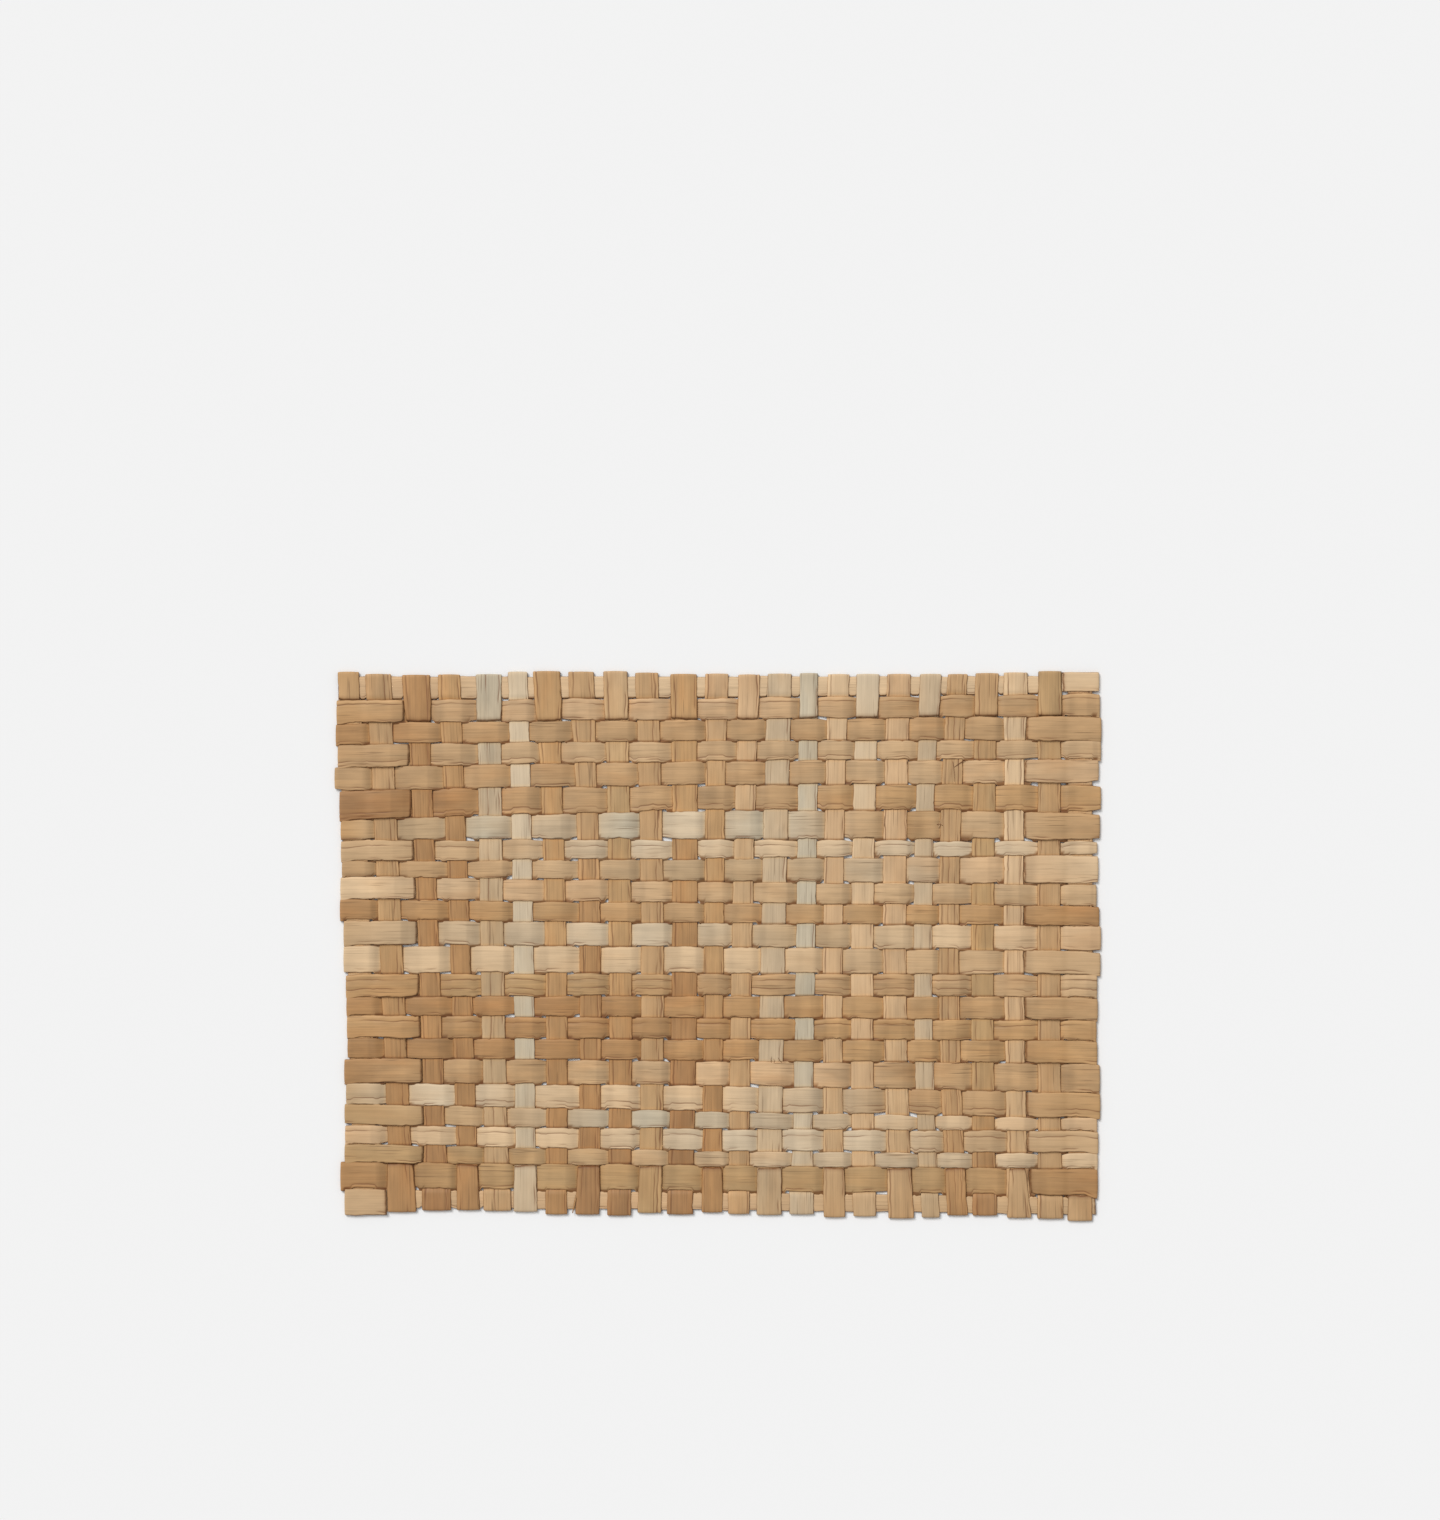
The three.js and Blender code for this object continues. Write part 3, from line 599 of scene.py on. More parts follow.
    def rises(self):
        """The rise of the weft at the middle and the sides of each warp."""
        sign = np.where(self.over, 1.0, -1.0)
        middle, side = sign * WEFT_RISE, sign * WEFT_RISE_AT_SIDE
        for edge in (0, -1):
            middle[edge] = side[edge] = sign[edge] * EDGE_RISE
        return middle, side

    def height(self, x):
        middle, side = self.rises()
        knots = np.stack([self.left, self.centre, self.right], 1).ravel()
        values = np.stack([side, middle, side], 1).ravel()
        slope = 2 * (middle - side) / self.half
        slopes = np.stack([slope, 0 * slope, -slope], 1).ravel()
        return MID_HEIGHT + hermite(x, knots, values, slopes)

    def tuck(self, x):
        """A sharp painted shadow line beside the warps that cover the weft, more on their shaded right
        side.
        """
        side, past = self.past_cover(x)
        return np.where(side > 0, RIGHT_LINE, LEFT_LINE) * (1 - smooth(past / CONTOUR))

    def past_cover(self, x):
        """The side of the nearest warp that covers the weft, and the distance from it."""
        under = np.where(self.over, FAR, self.centre)
        warp = np.abs(x[:, None] - under).argmin(1)
        from_middle = x - self.centre[warp]
        return np.sign(from_middle), np.abs(from_middle) - self.half[warp]

    def near(self, x):
        """1 beside the warps that cover the weft, and 0 away from them."""
        return 1 - smooth(self.past_cover(x)[1] / NEAR_REACH)

    def shade(self, x):
        """Painted shade past the bends over the warps: darker past a warp's right side, from a little
        lighter to a little darker past its left, on a random lightness from crossing to crossing.
        """
        nearest = np.abs(x[:, None] - self.centre).argmin(1)
        shade = 1 + self.own_shade[nearest]
        for warp in range(COUNT):
            middle, half = self.centre[warp], self.half[warp]
            for way, at, change in zip((-1, 1), self.bend_at[:, warp], self.bend_shade[:, warp]):
                past = way * (x - middle) / half - at
                ends = 1 - smooth((past - BEND_END[0]) / BEND_END[1])
                shade -= change * smooth(past / BEND_WIDTH + 0.5) * ends
        return shade

    def fold(self, side):
        """The turned-back end, listed from its tip to the end of the turn."""
        edge, second, third = (0, 1, 2) if side < 0 else (-1, -2, -3)
        outer, inner = (self.left, self.right) if side < 0 else (self.right, self.left)
        centre = turn_centre(side, outer[edge], self.strip.ends[0 if side < 0 else 1])
        at_turn = [s[0] for s in self.sides(centre)]
        if self.over[edge]:
            x = stations(inner[edge] + side * HIDDEN_SETBACK, centre)
            flap = stretch(x, MID_HEIGHT - EDGE_RISE, *at_turn, 1.0, 1.0)
            return [flap, half_turn(centre, side, *at_turn, 1.0, from_top=False)], centre
        x = stations(outer[third] + side * FLAP_SETBACK, centre)
        knots = [x[0], inner[second], self.centre[second], outer[second], inner[edge], centre]
        on_strip = WEFT_RISE_AT_SIDE + STACK
        rises = [FLAP_TIP_RISE, on_strip, WEFT_RISE + STACK, on_strip, EDGE_RISE, EDGE_RISE]
        fall = 2 * (WEFT_RISE - WEFT_RISE_AT_SIDE) / self.half[second]
        slopes = [side * TIP_SLOPE, side * fall, 0, -side * fall, 0, 0]
        order = slice(None, None, side)
        height = MID_HEIGHT + hermite(x, knots[order], rises[order], slopes[order])
        low, high = self.sides(x, flap=True)
        away = np.abs(x - x[0])
        draw_in = TIP_DRAW_IN * np.clip(1 - away / TIP_DRAW_REACH, 0, 1) ** 2
        blend = smooth(np.abs(x - centre) / TURN_BLEND)
        low = at_turn[0] + (low + draw_in - at_turn[0]) * blend
        high = at_turn[1] + (high - draw_in / 2 - at_turn[1]) * blend
        kept, fade = FLAP_SHADE_REACH
        shade = 1 + (self.shade(x) - 1) * (1 - smooth((away - kept) / fade))
        tuck = sum(painted_dark * (1 - smooth(away / reach)) for painted_dark, reach in (TIP_LINE, TIP_SHADE))
        flap = stretch(x, height, low, high, -1.0, tuck, shade)
        return [flap, half_turn(centre, side, *at_turn, -1.0, from_top=True)], centre

    def run(self):
        start, first = self.fold(-1)
        end, last = self.fold(1)
        left, right = self.left[~self.over], self.right[~self.over]
        contours = np.concatenate([left - CONTOUR, left, right, right + CONTOUR])
        x = with_contours(stations(first, last)[1:], contours)
        low, high = self.sides(x)
        height = self.height(x)
        lift = np.clip((height - MID_HEIGHT) / WEFT_RISE_AT_SIDE, -1, 1)
        middle = stretch(x, height, low, high, lift, self.tuck(x), self.shade(x), self.near(x),
                         self.brim(x))
        return joined([*start, middle, *(backwards(part) for part in reversed(end))])


def edge_weft_run(weft):
    """The first weft turns back over the last warp, and the last weft over the first warp."""
    side = 1 if weft.number == 1 else -1
    sides = TOP_RIGHT_FLAP if side > 0 else BOTTOM_LEFT_FLAP
    edge, second = (-1, -2) if side > 0 else (0, 1)
    outer, inner = (weft.right, weft.left) if side > 0 else (weft.left, weft.right)
    turned_end, plain_end = weft.strip.ends[::-1] if side > 0 else weft.strip.ends
    centre = turn_centre(side, outer[edge], turned_end)
    # Listed from the tip of the flap, around the turn and on to the plain end.
    x = stations(outer[second] + side * FLAP_SETBACK, centre)
    spread = smooth(np.abs(x - centre) / EDGE_TURN_BLEND)
    low = sides[0] + weft.wander[2](x) * spread
    high = sides[1] + weft.wander[3](x) * spread
    tuck = 1 - smooth(np.abs(x - x[0]) / EDGE_TIP_REACH)
    flap = stretch(x, MID_HEIGHT + EDGE_RISE, low, high, -1.0, tuck)
    turn = half_turn(centre, side, *sides, -1.0, from_top=True)
    x = stations(centre, plain_end)[1:]
    low, high = weft.sides(x)
    own = smooth((side * inner[edge] - side * x) / EDGE_PLAIN_BLEND)
    low = sides[0] + (low - sides[0]) * own
    high = sides[1] + (high - sides[1]) * own
    drop = 1 - smooth((side * inner[edge] - side * x) / (side * (inner[edge] - outer[second])))
    brim = weft.brim(x) if weft.number == 1 else -FAR
    level = stretch(x, MID_HEIGHT - EDGE_RISE * drop, low, high, 1 - 2 * drop, brim=brim)
    run = joined([flap, turn, level])
    return run if side < 0 else backwards(run)


# Warps

class Warp:
    """The sides and heights of one warp, as functions of y. Across is measured towards -X."""

    def __init__(self, number, wefts, settings):
        self.number = number
        self.strip = WARPS[number - 1]
        self.rng = np.random.default_rng(900 + number)
        ragged = settings.raggedness / MM * WARP_RAGGEDNESS
        top, bottom = self.strip.ends
        self.wander = [wavering(self.rng, ragged) for _ in range(4)]
        self.bites = [torn(self.rng, bottom, top, *WARP_BITES) for _ in range(4)]
        self.own_shade = self.rng.normal(0, OWN_SHADE, COUNT)
        self.over = np.array([not weft_is_over(w, number) for w in range(1, COUNT + 1)])
        self.places = np.array([self.weft_at(wefts, w) for w in range(1, COUNT + 1)])

    def weft_at(self, wefts, number):
        """The lower and upper side of a weft where this warp crosses it."""
        x = bow(self.strip.centre, weft_centre(number, self.strip.centre[1]) / WARP_READ_Y)
        low, high = wefts[number - 1].sides(x)
        return low[0], high[0]

    def sides(self, y, flap=False):
        y = np.atleast_1d(np.asarray(y, float))
        left, right = warp_sides(self.number, y)
        pick = 2 if flap else 0
        low = -right + self.wander[pick](y) + self.bites[pick](y)
        high = -left + self.wander[pick + 1](y) - self.bites[pick + 1](y)
        return low, high

    def height(self, y):
        """The warp rises a little over each weft that it covers, and much over an edge weft."""
        low, high = self.places.T
        inner = slice(1, COUNT - 1)
        knots = list(((low + high) / 2)[inner][::-1])
        values = list(np.where(self.over, WARP_RISE, -WARP_RISE)[inner][::-1])
        top = EDGE_RISE if self.over[0] else -EDGE_RISE
        bottom = EDGE_RISE if self.over[-1] else -EDGE_RISE
        if self.number == COUNT:
            top = 0
        if self.number == 1:
            bottom = 0
        knots = [high[-1], low[-2], *knots, high[1], low[0]]
        values = [bottom, 0, *values, 0, top]
        return MID_HEIGHT + hermite(y, knots, values, np.zeros(len(knots)))

    def fold(self, side):
        """The turned-back end at the top (side 1) or bottom, from its tip to the turn's end."""
        edge, second, third = (0, 1, 2) if side > 0 else (-1, -2, -3)
        near, far = (1, 0) if side > 0 else (0, 1)  # the outer and the inner side of a weft
        outline = self.strip.ends[0 if side > 0 else 1]
        centre = turn_centre(side, self.places[edge][near], outline)
        at_turn = [s[0] for s in self.sides(centre)]
        if self.over[edge]:
            y = stations(self.places[edge][far] + side * HIDDEN_SETBACK, centre)
            flap = stretch(y, MID_HEIGHT - EDGE_RISE, *at_turn, 1.0, 1.0)
            return [flap, half_turn(centre, side, *at_turn, 1.0, from_top=False)], centre
        corner = self.number in (1, COUNT)
        stop = self.places[second if corner else third][near]
        y = stations(stop + side * FLAP_SETBACK, centre)
        low, high = self.sides(y, flap=True)
        away = np.abs(y - y[0])
        blend = smooth(np.abs(y - centre) / TURN_BLEND)
        low = at_turn[0] + (low - at_turn[0]) * blend
        high = at_turn[1] + (high - at_turn[1]) * blend
        pinch = PINCHED_FLAP_SHARE if (self.number, side) == PINCHED_FLAP else FLAP_PINCH
        drawn_in = pinch * (high - low) / 2 * (y - centre) / (y[0] - centre)
        low, high = low + drawn_in, high - drawn_in
        sink = TIP_SINK * np.clip(1 - away / TIP_SINK_REACH, 0, 1) ** 2
        flap = stretch(y, MID_HEIGHT + EDGE_RISE - sink, low, high, -1.0,
                       1 - smooth(away / WARP_TIP_REACH))
        return [flap, half_turn(centre, side, *at_turn, -1.0, from_top=True)], centre

    def run(self):
        top, bottom = self.strip.ends
        start, first = ([], bottom) if self.number == 1 else self.fold(-1)
        end, last = ([], top) if self.number == COUNT else self.fold(1)
        under = self.places[~self.over]
        contours = np.concatenate([under[:, 0] - CONTOUR, under[:, 0]])
        y = with_contours(stations(first, last)[1:], contours)
        low, high = self.sides(y)
        middles = self.places.mean(1)
        weft = np.abs(y[:, None] - middles).argmin(1)
        above = np.where(self.over[weft], 1.0, -1.0)
        past = np.abs(y - middles[weft]) / ((self.places[:, 1] - self.places[:, 0]) / 2)[weft]
        lift = above * (1 - LIFT_LOSS * smooth((past - LIFT_LOSS_AT[0]) / LIFT_LOSS_AT[1]))
        # Painted shadow beside the wefts that cover it, more below them than above, and full painted
        # shade where they hide it.
        below = np.min(np.abs(y[:, None] - under[:, 0]), 1)
        above_next = np.min(np.abs(y[:, None] - under[:, 1]), 1)
        hidden = np.any((y[:, None] > under[:, 0]) & (y[:, None] < under[:, 1]), 1)
        tuck = np.maximum(BELOW_LINE * (1 - smooth(below / CONTOUR)),
                          ABOVE_LINE * (1 - smooth(above_next / CONTOUR)))
        tuck = np.maximum(tuck, hidden)
        near = np.where(hidden, 1, 1 - smooth(np.minimum(below, above_next) / NEAR_REACH))
        middle = stretch(y, self.height(y), low, high, lift, tuck, 1 + self.own_shade[weft], near)
        return joined([*start, middle, *(backwards(part) for part in reversed(end))])


# Strip meshes

ACROSS = np.array([-1, -0.97, -0.91, -0.84, -0.74, -0.45, 0, 0.45, 0.76, 0.91, 0.97, 1])
SIDE_FROM = 0.91  # share of the half width where a strip's rounded side starts
SIDE_WIDTH = 0.09
SIDE_THICKNESS = 0.68  # share of its thickness that a strip has before its rounded sides
CROWN = 0.32  # share that is added towards the middle
OUTER_FROM = 0.9  # share of the half width outside which samples stay, whatever pleats do
PLEAT_HALF = 0.045
PLEAT_FLANK = 1.7  # from a pleat to the samples beside it, in widths PLEAT_HALF
PLEAT_CLEAR = 0.1  # share of the half width that other samples keep away from a pleat
PLEAT_SHIFT = (0.05, 120, 12)  # size and longest and shortest wave of a pleat's wander
LARGEST_SHIFT = 0.1
SHIFT_REACH = 0.22  # of the leaf beside a pleat that shifts with it
PLEAT_WAVES = (90, 15)  # over which a pleat comes and goes
PLEAT_USUAL = (0.75, 0.5)  # its usual strength, and by how much that changes
# Every strip has one more pleat near its low side, within these places across it.
SIDE_PLEAT_AT = (-0.84, -0.72)
SIDE_PLEAT_USUAL = (0.1, 1.1)
STRIPED_FROM = 0.45  # pleats farther out fold the side of the leaf in
STRIPE_GAP = 0.2  # from a pleat to that side, in widths PLEAT_HALF
SIDE_STRIPE = 0.09  # height of the folded-in side of the leaf, in millimetres
CURL_SLOPE = 0.75
CURL_WITH_LIFT = (-0.3, 1)
BRIM_DARK = 0.4  # depth below the brim where it is fully painted dark
SKEW = 0.5  # of a cut end
JAG = (0.18, 8, 1.2)
JAG_ACROSS = 6
JAG_REACH = 4
LENGTHWISE_SHADE = (0.035, 160, 22)
LIT_SIDE = 0.02  # share by which a strip's sides are paler, as a painted highlight on its rounded sides
LIT_SIDE_AT = (0.76, 0.91)
STRIPE_SHADE = 0.09
# painted shade: paler towards a weft's upper side and a warp's left side, towards the light
ACROSS_SHADE = 0.02
SIDE_PAINTED_BOUNCE = 0.15  # strength of the painted warm bounce light at a strip's own sides
SIDE_PAINTED_BOUNCE_AT = (0.8, 0.96)
PAINTED_WARM_BOUNCE = (0.11, 0.04, -0.08)  # share added to red, green and blue next to another strip, as painted warm bounce light
NOOK_PAINTED_SHADE = 0.6  # painted shade in a nook, where a strip dives at the corner of a covering one
NOOK_FROM = (0.7, 0.2)  # share of the half width where a nook starts, and over how much
NOOK_TUCK = (0.15, 0.5)  # the same for how dark the strip's line is there
LOW_RIM_AT = (0.93, 0.965)  # across the low side, where its worn line with a painted contact shadow starts and is full
HIGH_RIM_AT = (0.95, 0.99)
HIGH_RIM = 0.75  # strength of the worn line with its painted contact shadow on the high side, against that on the low side
WORN_END = 0.8
STEADY_SPAN = 41  # stations that the course of the fibre is averaged over


def across_samples(pleats):
    kept = [v for v in ACROSS
            if all(abs(v - p) > PLEAT_CLEAR for p in pleats) or abs(v) > OUTER_FROM]
    added = [p + k * PLEAT_HALF for p in pleats for k in (-PLEAT_FLANK, 0, PLEAT_FLANK)]
    return np.array(sorted(kept + added))


def leaf_colours(names, tones, share):
    """The leaf's colour at each share of the strip's length, in linear light."""
    table = np.array([tones[n] for n in names.split()])
    places = np.linspace(0, 1, len(table))
    return np.stack([np.interp(share, places, table[:, c]) for c in range(3)], -1)


def steadied(values):
    """The slow part of a strip's wander."""
    ends = STEADY_SPAN // 2
    padded = np.pad(values, ends, mode="edge")
    return np.convolve(padded, np.full(STEADY_SPAN, 1 / STEADY_SPAN), mode="valid")


def strip_mesh(name, strip, run, place, settings, tones, rng):
    """A closed, thin ribbon of folded leaf along a run."""
    side_pleat = rng.uniform(*SIDE_PLEAT_AT)
    across = across_samples((*strip.pleats, side_pleat))
    along, height = run.along, run.height
    tangent = np.stack([np.gradient(along), np.gradient(height)], -1)
    tangent /= np.linalg.norm(tangent, axis=1, keepdims=True)
    normal = np.stack([-tangent[:, 1], tangent[:, 0]], -1)
    length = np.concatenate([[0], np.cumsum(np.hypot(np.diff(along), np.diff(height)))])

    v = np.broadcast_to(across, (len(along), len(across))).copy()
    crease = np.zeros_like(v)
    stripe = np.zeros_like(v)
    for pleat in (*strip.pleats, side_pleat):
        shift = np.clip(wavering(rng, *PLEAT_SHIFT)(length), -LARGEST_SHIFT, LARGEST_SHIFT)
        carried = np.exp(-((across - pleat) / SHIFT_REACH) ** 2)
        v += shift[:, None] * carried * (np.abs(across) < OUTER_FROM)
        usual, swing = SIDE_PLEAT_USUAL if pleat == side_pleat else PLEAT_USUAL
        strength = usual + wavering(rng, swing, *PLEAT_WAVES)(length)
        strength = np.clip(strength, 0, 1)[:, None]
        crease = np.maximum(crease, strength * np.exp(-((across - pleat) / PLEAT_HALF) ** 2))
        beyond = (across - pleat) * np.sign(pleat) / PLEAT_HALF
        if abs(pleat) > STRIPED_FROM:
            stripe = np.maximum(stripe, strength * smooth(beyond - STRIPE_GAP))

    edge = np.clip((np.abs(across) - SIDE_FROM) / SIDE_WIDTH, 0, 1)
    half = HALF_THICK * (SIDE_THICKNESS + CROWN * (1 - across**2)) * np.sqrt(1 - edge**2)
    hug = -run.lift[:, None] * (HALF_THICK - half)
    relief = SIDE_STRIPE * stripe - settings.pleat_depth / MM * crease
    relief = relief * (np.abs(across) < 1)
    middle, reach = (run.low + run.high)[:, None] / 2, (run.high - run.low)[:, None] / 2
    sideways = middle + v * reach

    # Filled corners curl down into the weave, and are painted dark there as shade.
    depth = np.clip(run.brim[:, None] - sideways, 0, None)
    curl = np.minimum(CURL_SLOPE * depth, LARGEST_CURL)
    curl = curl * np.clip(run.lift, *CURL_WITH_LIFT)[:, None]
    hug = hug - np.clip(curl, 0, None)
    painted_dark = smooth(depth / BRIM_DARK)

    # The cut ends are a little skewed and jagged.
    cut = np.zeros_like(v)
    for tip, sign in ((0, -1), (-1, 1)):
        away = np.abs(length - length[tip])[:, None]
        jag = rng.uniform(-SKEW, SKEW) * v + wavering(rng, *JAG)(v[tip] * JAG_ACROSS)
        cut += sign * jag * np.clip(1 - away / JAG_REACH, 0, 1)

    def surface(face):
        """Points of the face towards the normal (1) or away from it (-1)."""
        off = hug + face * (half + relief)
        a = along[:, None] + tangent[:, :1] * cut + normal[:, :1] * off
        z = height[:, None] + tangent[:, 1:] * cut + normal[:, 1:] * off
        return np.stack(place(a, sideways, z), -1)

    upper, lower = surface(1), surface(-1)
    ring = np.concatenate([upper, lower[:, -2:0:-1]], 1)
    rings, around = ring.shape[:2]
    count = len(across)

    def per_point(values):
        values = np.broadcast_to(values, (rings, count))
        return np.concatenate([values, values[:, -2:0:-1]], 1).ravel()

    i, k = np.meshgrid(np.arange(rings - 1), np.arange(around), indexing="ij")
    nxt = (k + 1) % around
    walls = np.stack([i * around + k, (i + 1) * around + k,
                      (i + 1) * around + nxt, i * around + nxt], -1).reshape(-1, 4)
    faces = walls.tolist()
    beneath = [0, *range(2 * count - 3, count - 1, -1), count - 1]
    for base, flip in ((0, False), ((rings - 1) * around, True)):
        for n in range(count - 1):
            corner = [base + k for k in (n, n + 1, beneath[n + 1], beneath[n])]
            corner = [c for m, c in enumerate(corner) if c not in corner[:m]]
            if len(corner) > 2:
                faces.append(corner[::-1] if flip else corner)

    mesh = bpy.data.meshes.new(name)
    mesh.from_pydata((ring.reshape(-1, 3) * MM).tolist(), [], faces)
    mesh.shade_smooth()

    # The leaf's colour with painted light and shade in it, and where its creases, its worn sides with
    # their painted contact shadow, and its stretches in painted shade are.
    share = (along - strip.ends[0]) / (strip.ends[1] - strip.ends[0])
    colour = leaf_colours(strip.tones, tones, np.clip(share, 0, 1))
    lightness = 1 + wavering(rng, *LENGTHWISE_SHADE)(length)[:, None]
    lit_side = np.interp(np.abs(across), LIT_SIDE_AT, (0, LIT_SIDE))
    lightness = lightness * (1 + STRIPE_SHADE * stripe + ACROSS_SHADE * v + lit_side)
    # Painted shade past the bends.
    lightness = lightness * run.shade[:, None]
    # Painted shade in the nooks at the corners of covering strips.
    nook = (smooth((np.abs(across) - NOOK_FROM[0]) / NOOK_FROM[1])
            * smooth((run.tuck[:, None] - NOOK_TUCK[0]) / NOOK_TUCK[1]))
    lightness = lightness * (1 - NOOK_PAINTED_SHADE * nook)
    # Next to another strip the leaf gets painted warm bounce light, as if lit by light thrown from it.
    side_painted_bounce = SIDE_PAINTED_BOUNCE * np.interp(np.abs(across), SIDE_PAINTED_BOUNCE_AT, (0, 1))
    beside = np.maximum(run.near[:, None], side_painted_bounce)
    # Worn sides and ends, with a painted contact shadow line along the sides.
    rim = np.maximum(np.interp(-across, LOW_RIM_AT, (0, 1)),
                     HIGH_RIM * np.interp(across, HIGH_RIM_AT, (0, 1)))
    ends = np.clip(1 - np.minimum(length, length[-1] - length) / WORN_END, 0, 1)[:, None]
    tone_points = np.ones((rings * around, 4))
    marks = np.ones((rings * around, 4))
    for channel in range(3):
        painted_bounce = 1 + PAINTED_WARM_BOUNCE[channel] * beside
        tone_points[:, channel] = per_point(colour[:, channel:channel + 1] * lightness * painted_bounce)
    marks[:, 0] = per_point(crease)
    marks[:, 1] = per_point(np.maximum(rim, ends))
    marks[:, 2] = per_point(np.maximum(run.tuck[:, None], painted_dark))
    for title, values in (("tone", tone_points), ("marks", marks)):
        layer = mesh.color_attributes.new(title, "FLOAT_COLOR", "POINT")
        layer.data.foreach_set("color", values.ravel())

    # The leaf's own length and width in metres, for its fibre.
    start = rng.uniform(0, 9)
    flat = np.stack([per_point(length[:, None]) * MM + start,
                     per_point(sideways - steadied(middle[:, 0])[:, None]) * MM + start], -1)
    corners = np.empty(len(mesh.loops), dtype=np.int32)
    mesh.loops.foreach_get("vertex_index", corners)
    mesh.uv_layers.new(name="leaf").data.foreach_set("uv", flat[corners].ravel())

    piece = bpy.data.objects.new(name, mesh)
    bpy.context.scene.collection.objects.link(piece)
    return piece, length[-1], float((run.high - run.low).mean())


def splinter_rings(splinter):
    """The points around a tapered splinter, ring by ring."""
    t = np.linspace(0, 1, SPLINTER_POINTS)
    angle = np.radians(splinter.heading + splinter.turn * t)
    ahead = np.stack([np.cos(angle), np.sin(angle), 0 * t], -1)
    steps = ahead[:-1] * splinter.length / (SPLINTER_POINTS - 1)
    middle = np.array(splinter.root) + np.concatenate([np.zeros((1, 3)), np.cumsum(steps, 0)])
    middle[:, 2] += SPLINTER_RISE * np.sin(math.pi * t)
    aside = np.stack([-ahead[:, 1], ahead[:, 0], 0 * t], -1)
    reach = (splinter.width / 2 * (1 - SPLINTER_TAPER * t))[:, None] * aside
    thick = min(splinter.width, THICKEST_SPLINTER) / 2 * (1 - SPLINTER_TAPER * t)
    up = thick[:, None] * np.array([0, 0, 1])
    return np.stack([middle + reach, middle + up, middle - reach, middle - up], 1)


def splinter_mesh(name, tones):
    """All loose splinters in one mesh of closed slivers."""
    points, faces, colours = [], [], []
    around = 4
    for splinter in SPLINTERS:
        base = len(points)
        points.extend(splinter_rings(splinter).reshape(-1, 3) * MM)
        for ring in range(SPLINTER_POINTS - 1):
            first = base + ring * around
            for k in range(around):
                after = (k + 1) % around
                faces.append((first + k, first + after, first + around + after,
                              first + around + k))
        last = base + (SPLINTER_POINTS - 1) * around
        faces.append(tuple(range(base + around - 1, base - 1, -1)))
        faces.append(tuple(range(last, last + around)))
        colours.extend([(*tones[splinter.tone], 1)] * SPLINTER_POINTS * around)
    mesh = bpy.data.meshes.new(name)
    mesh.from_pydata(points, [], faces)
    mesh.shade_smooth()
    mesh.color_attributes.new("tone", "FLOAT_COLOR", "POINT").data.foreach_set(
        "color", np.ravel(colours))
    mesh.color_attributes.new("marks", "FLOAT_COLOR", "POINT").data.foreach_set(
        "color", np.tile([0.0, 0.0, 0.0, 1.0], len(points)))
    corners = np.empty(len(mesh.loops), dtype=np.int32)
    mesh.loops.foreach_get("vertex_index", corners)
    flat = np.array(points)[:, :2]
    mesh.uv_layers.new(name="leaf").data.foreach_set("uv", flat[corners].ravel())
    return mesh


# Leaf materials

# Fibre and Dashes are strengths. Blotches is how far the colour varies over centimetres.
Leaf = namedtuple("Leaf", "fibre dashes blotches roughness")

LEAVES = {
    "leaf_ivory": Leaf(0.75, 0.35, 0.6, 0.62),
    "leaf_cream": Leaf(0.9, 0.3, 0.55, 0.6),
    "leaf_peach": Leaf(0.9, 0.35, 0.6, 0.58),
    "leaf_straw": Leaf(1.0, 0.45, 0.7, 0.58),
    "leaf_sage": Leaf(0.9, 0.55, 0.8, 0.62),
    "leaf_grey": Leaf(1.0, 0.6, 0.9, 0.64),
    "leaf_olive": Leaf(1.15, 0.55, 1.0, 0.56),
    "leaf_tan": Leaf(1.05, 0.5, 0.9, 0.56),
    "leaf_golden": Leaf(1.1, 0.5, 0.9, 0.54),
    "leaf_caramel": Leaf(1.1, 0.5, 1.0, 0.54),
    "leaf_rosy": Leaf(1.0, 0.5, 0.9, 0.55),
    "leaf_brown": Leaf(1.2, 0.6, 1.1, 0.55),
}


# A noise drawn out along the leaf: its grain along and across in metres, and its place.
Grain = namedtuple("Grain", "along across detail roughness shift")

COARSE_FIBRE = Grain(0.075, 0.0022, 3, 0.6, 0.0)
FINE_FIBRE = Grain(0.05, 0.00075, 2, 0.55, 31.7)
DASH = Grain(0.028, 0.0009, 1, 0.5, 77.1)
DASHED_PATCH = Grain(0.03, 0.006, 1, 0.5, 13.3)
BLOTCH = Grain(0.028, 0.009, 3, 0.55, 5.0)
HUE = Grain(0.045, 0.014, 2, 0.5, 19.0)
SIDE_LINE_BREAKS = Grain(0.006, 0.004, 2, 0.6, 41.0)

# Values of a noise between which what it stands for starts to show and is full.
DASH_RANGE = (0.62, 0.7)
PATCH_RANGE = (0.4, 0.6)
WARM_RANGE = (0.5, 0.72)
DULL_RANGE = (0.5, 0.3)
SIDE_LINE_RANGE = (0.36, 0.6)
LINES_RANGE = (0.3, 0.7)

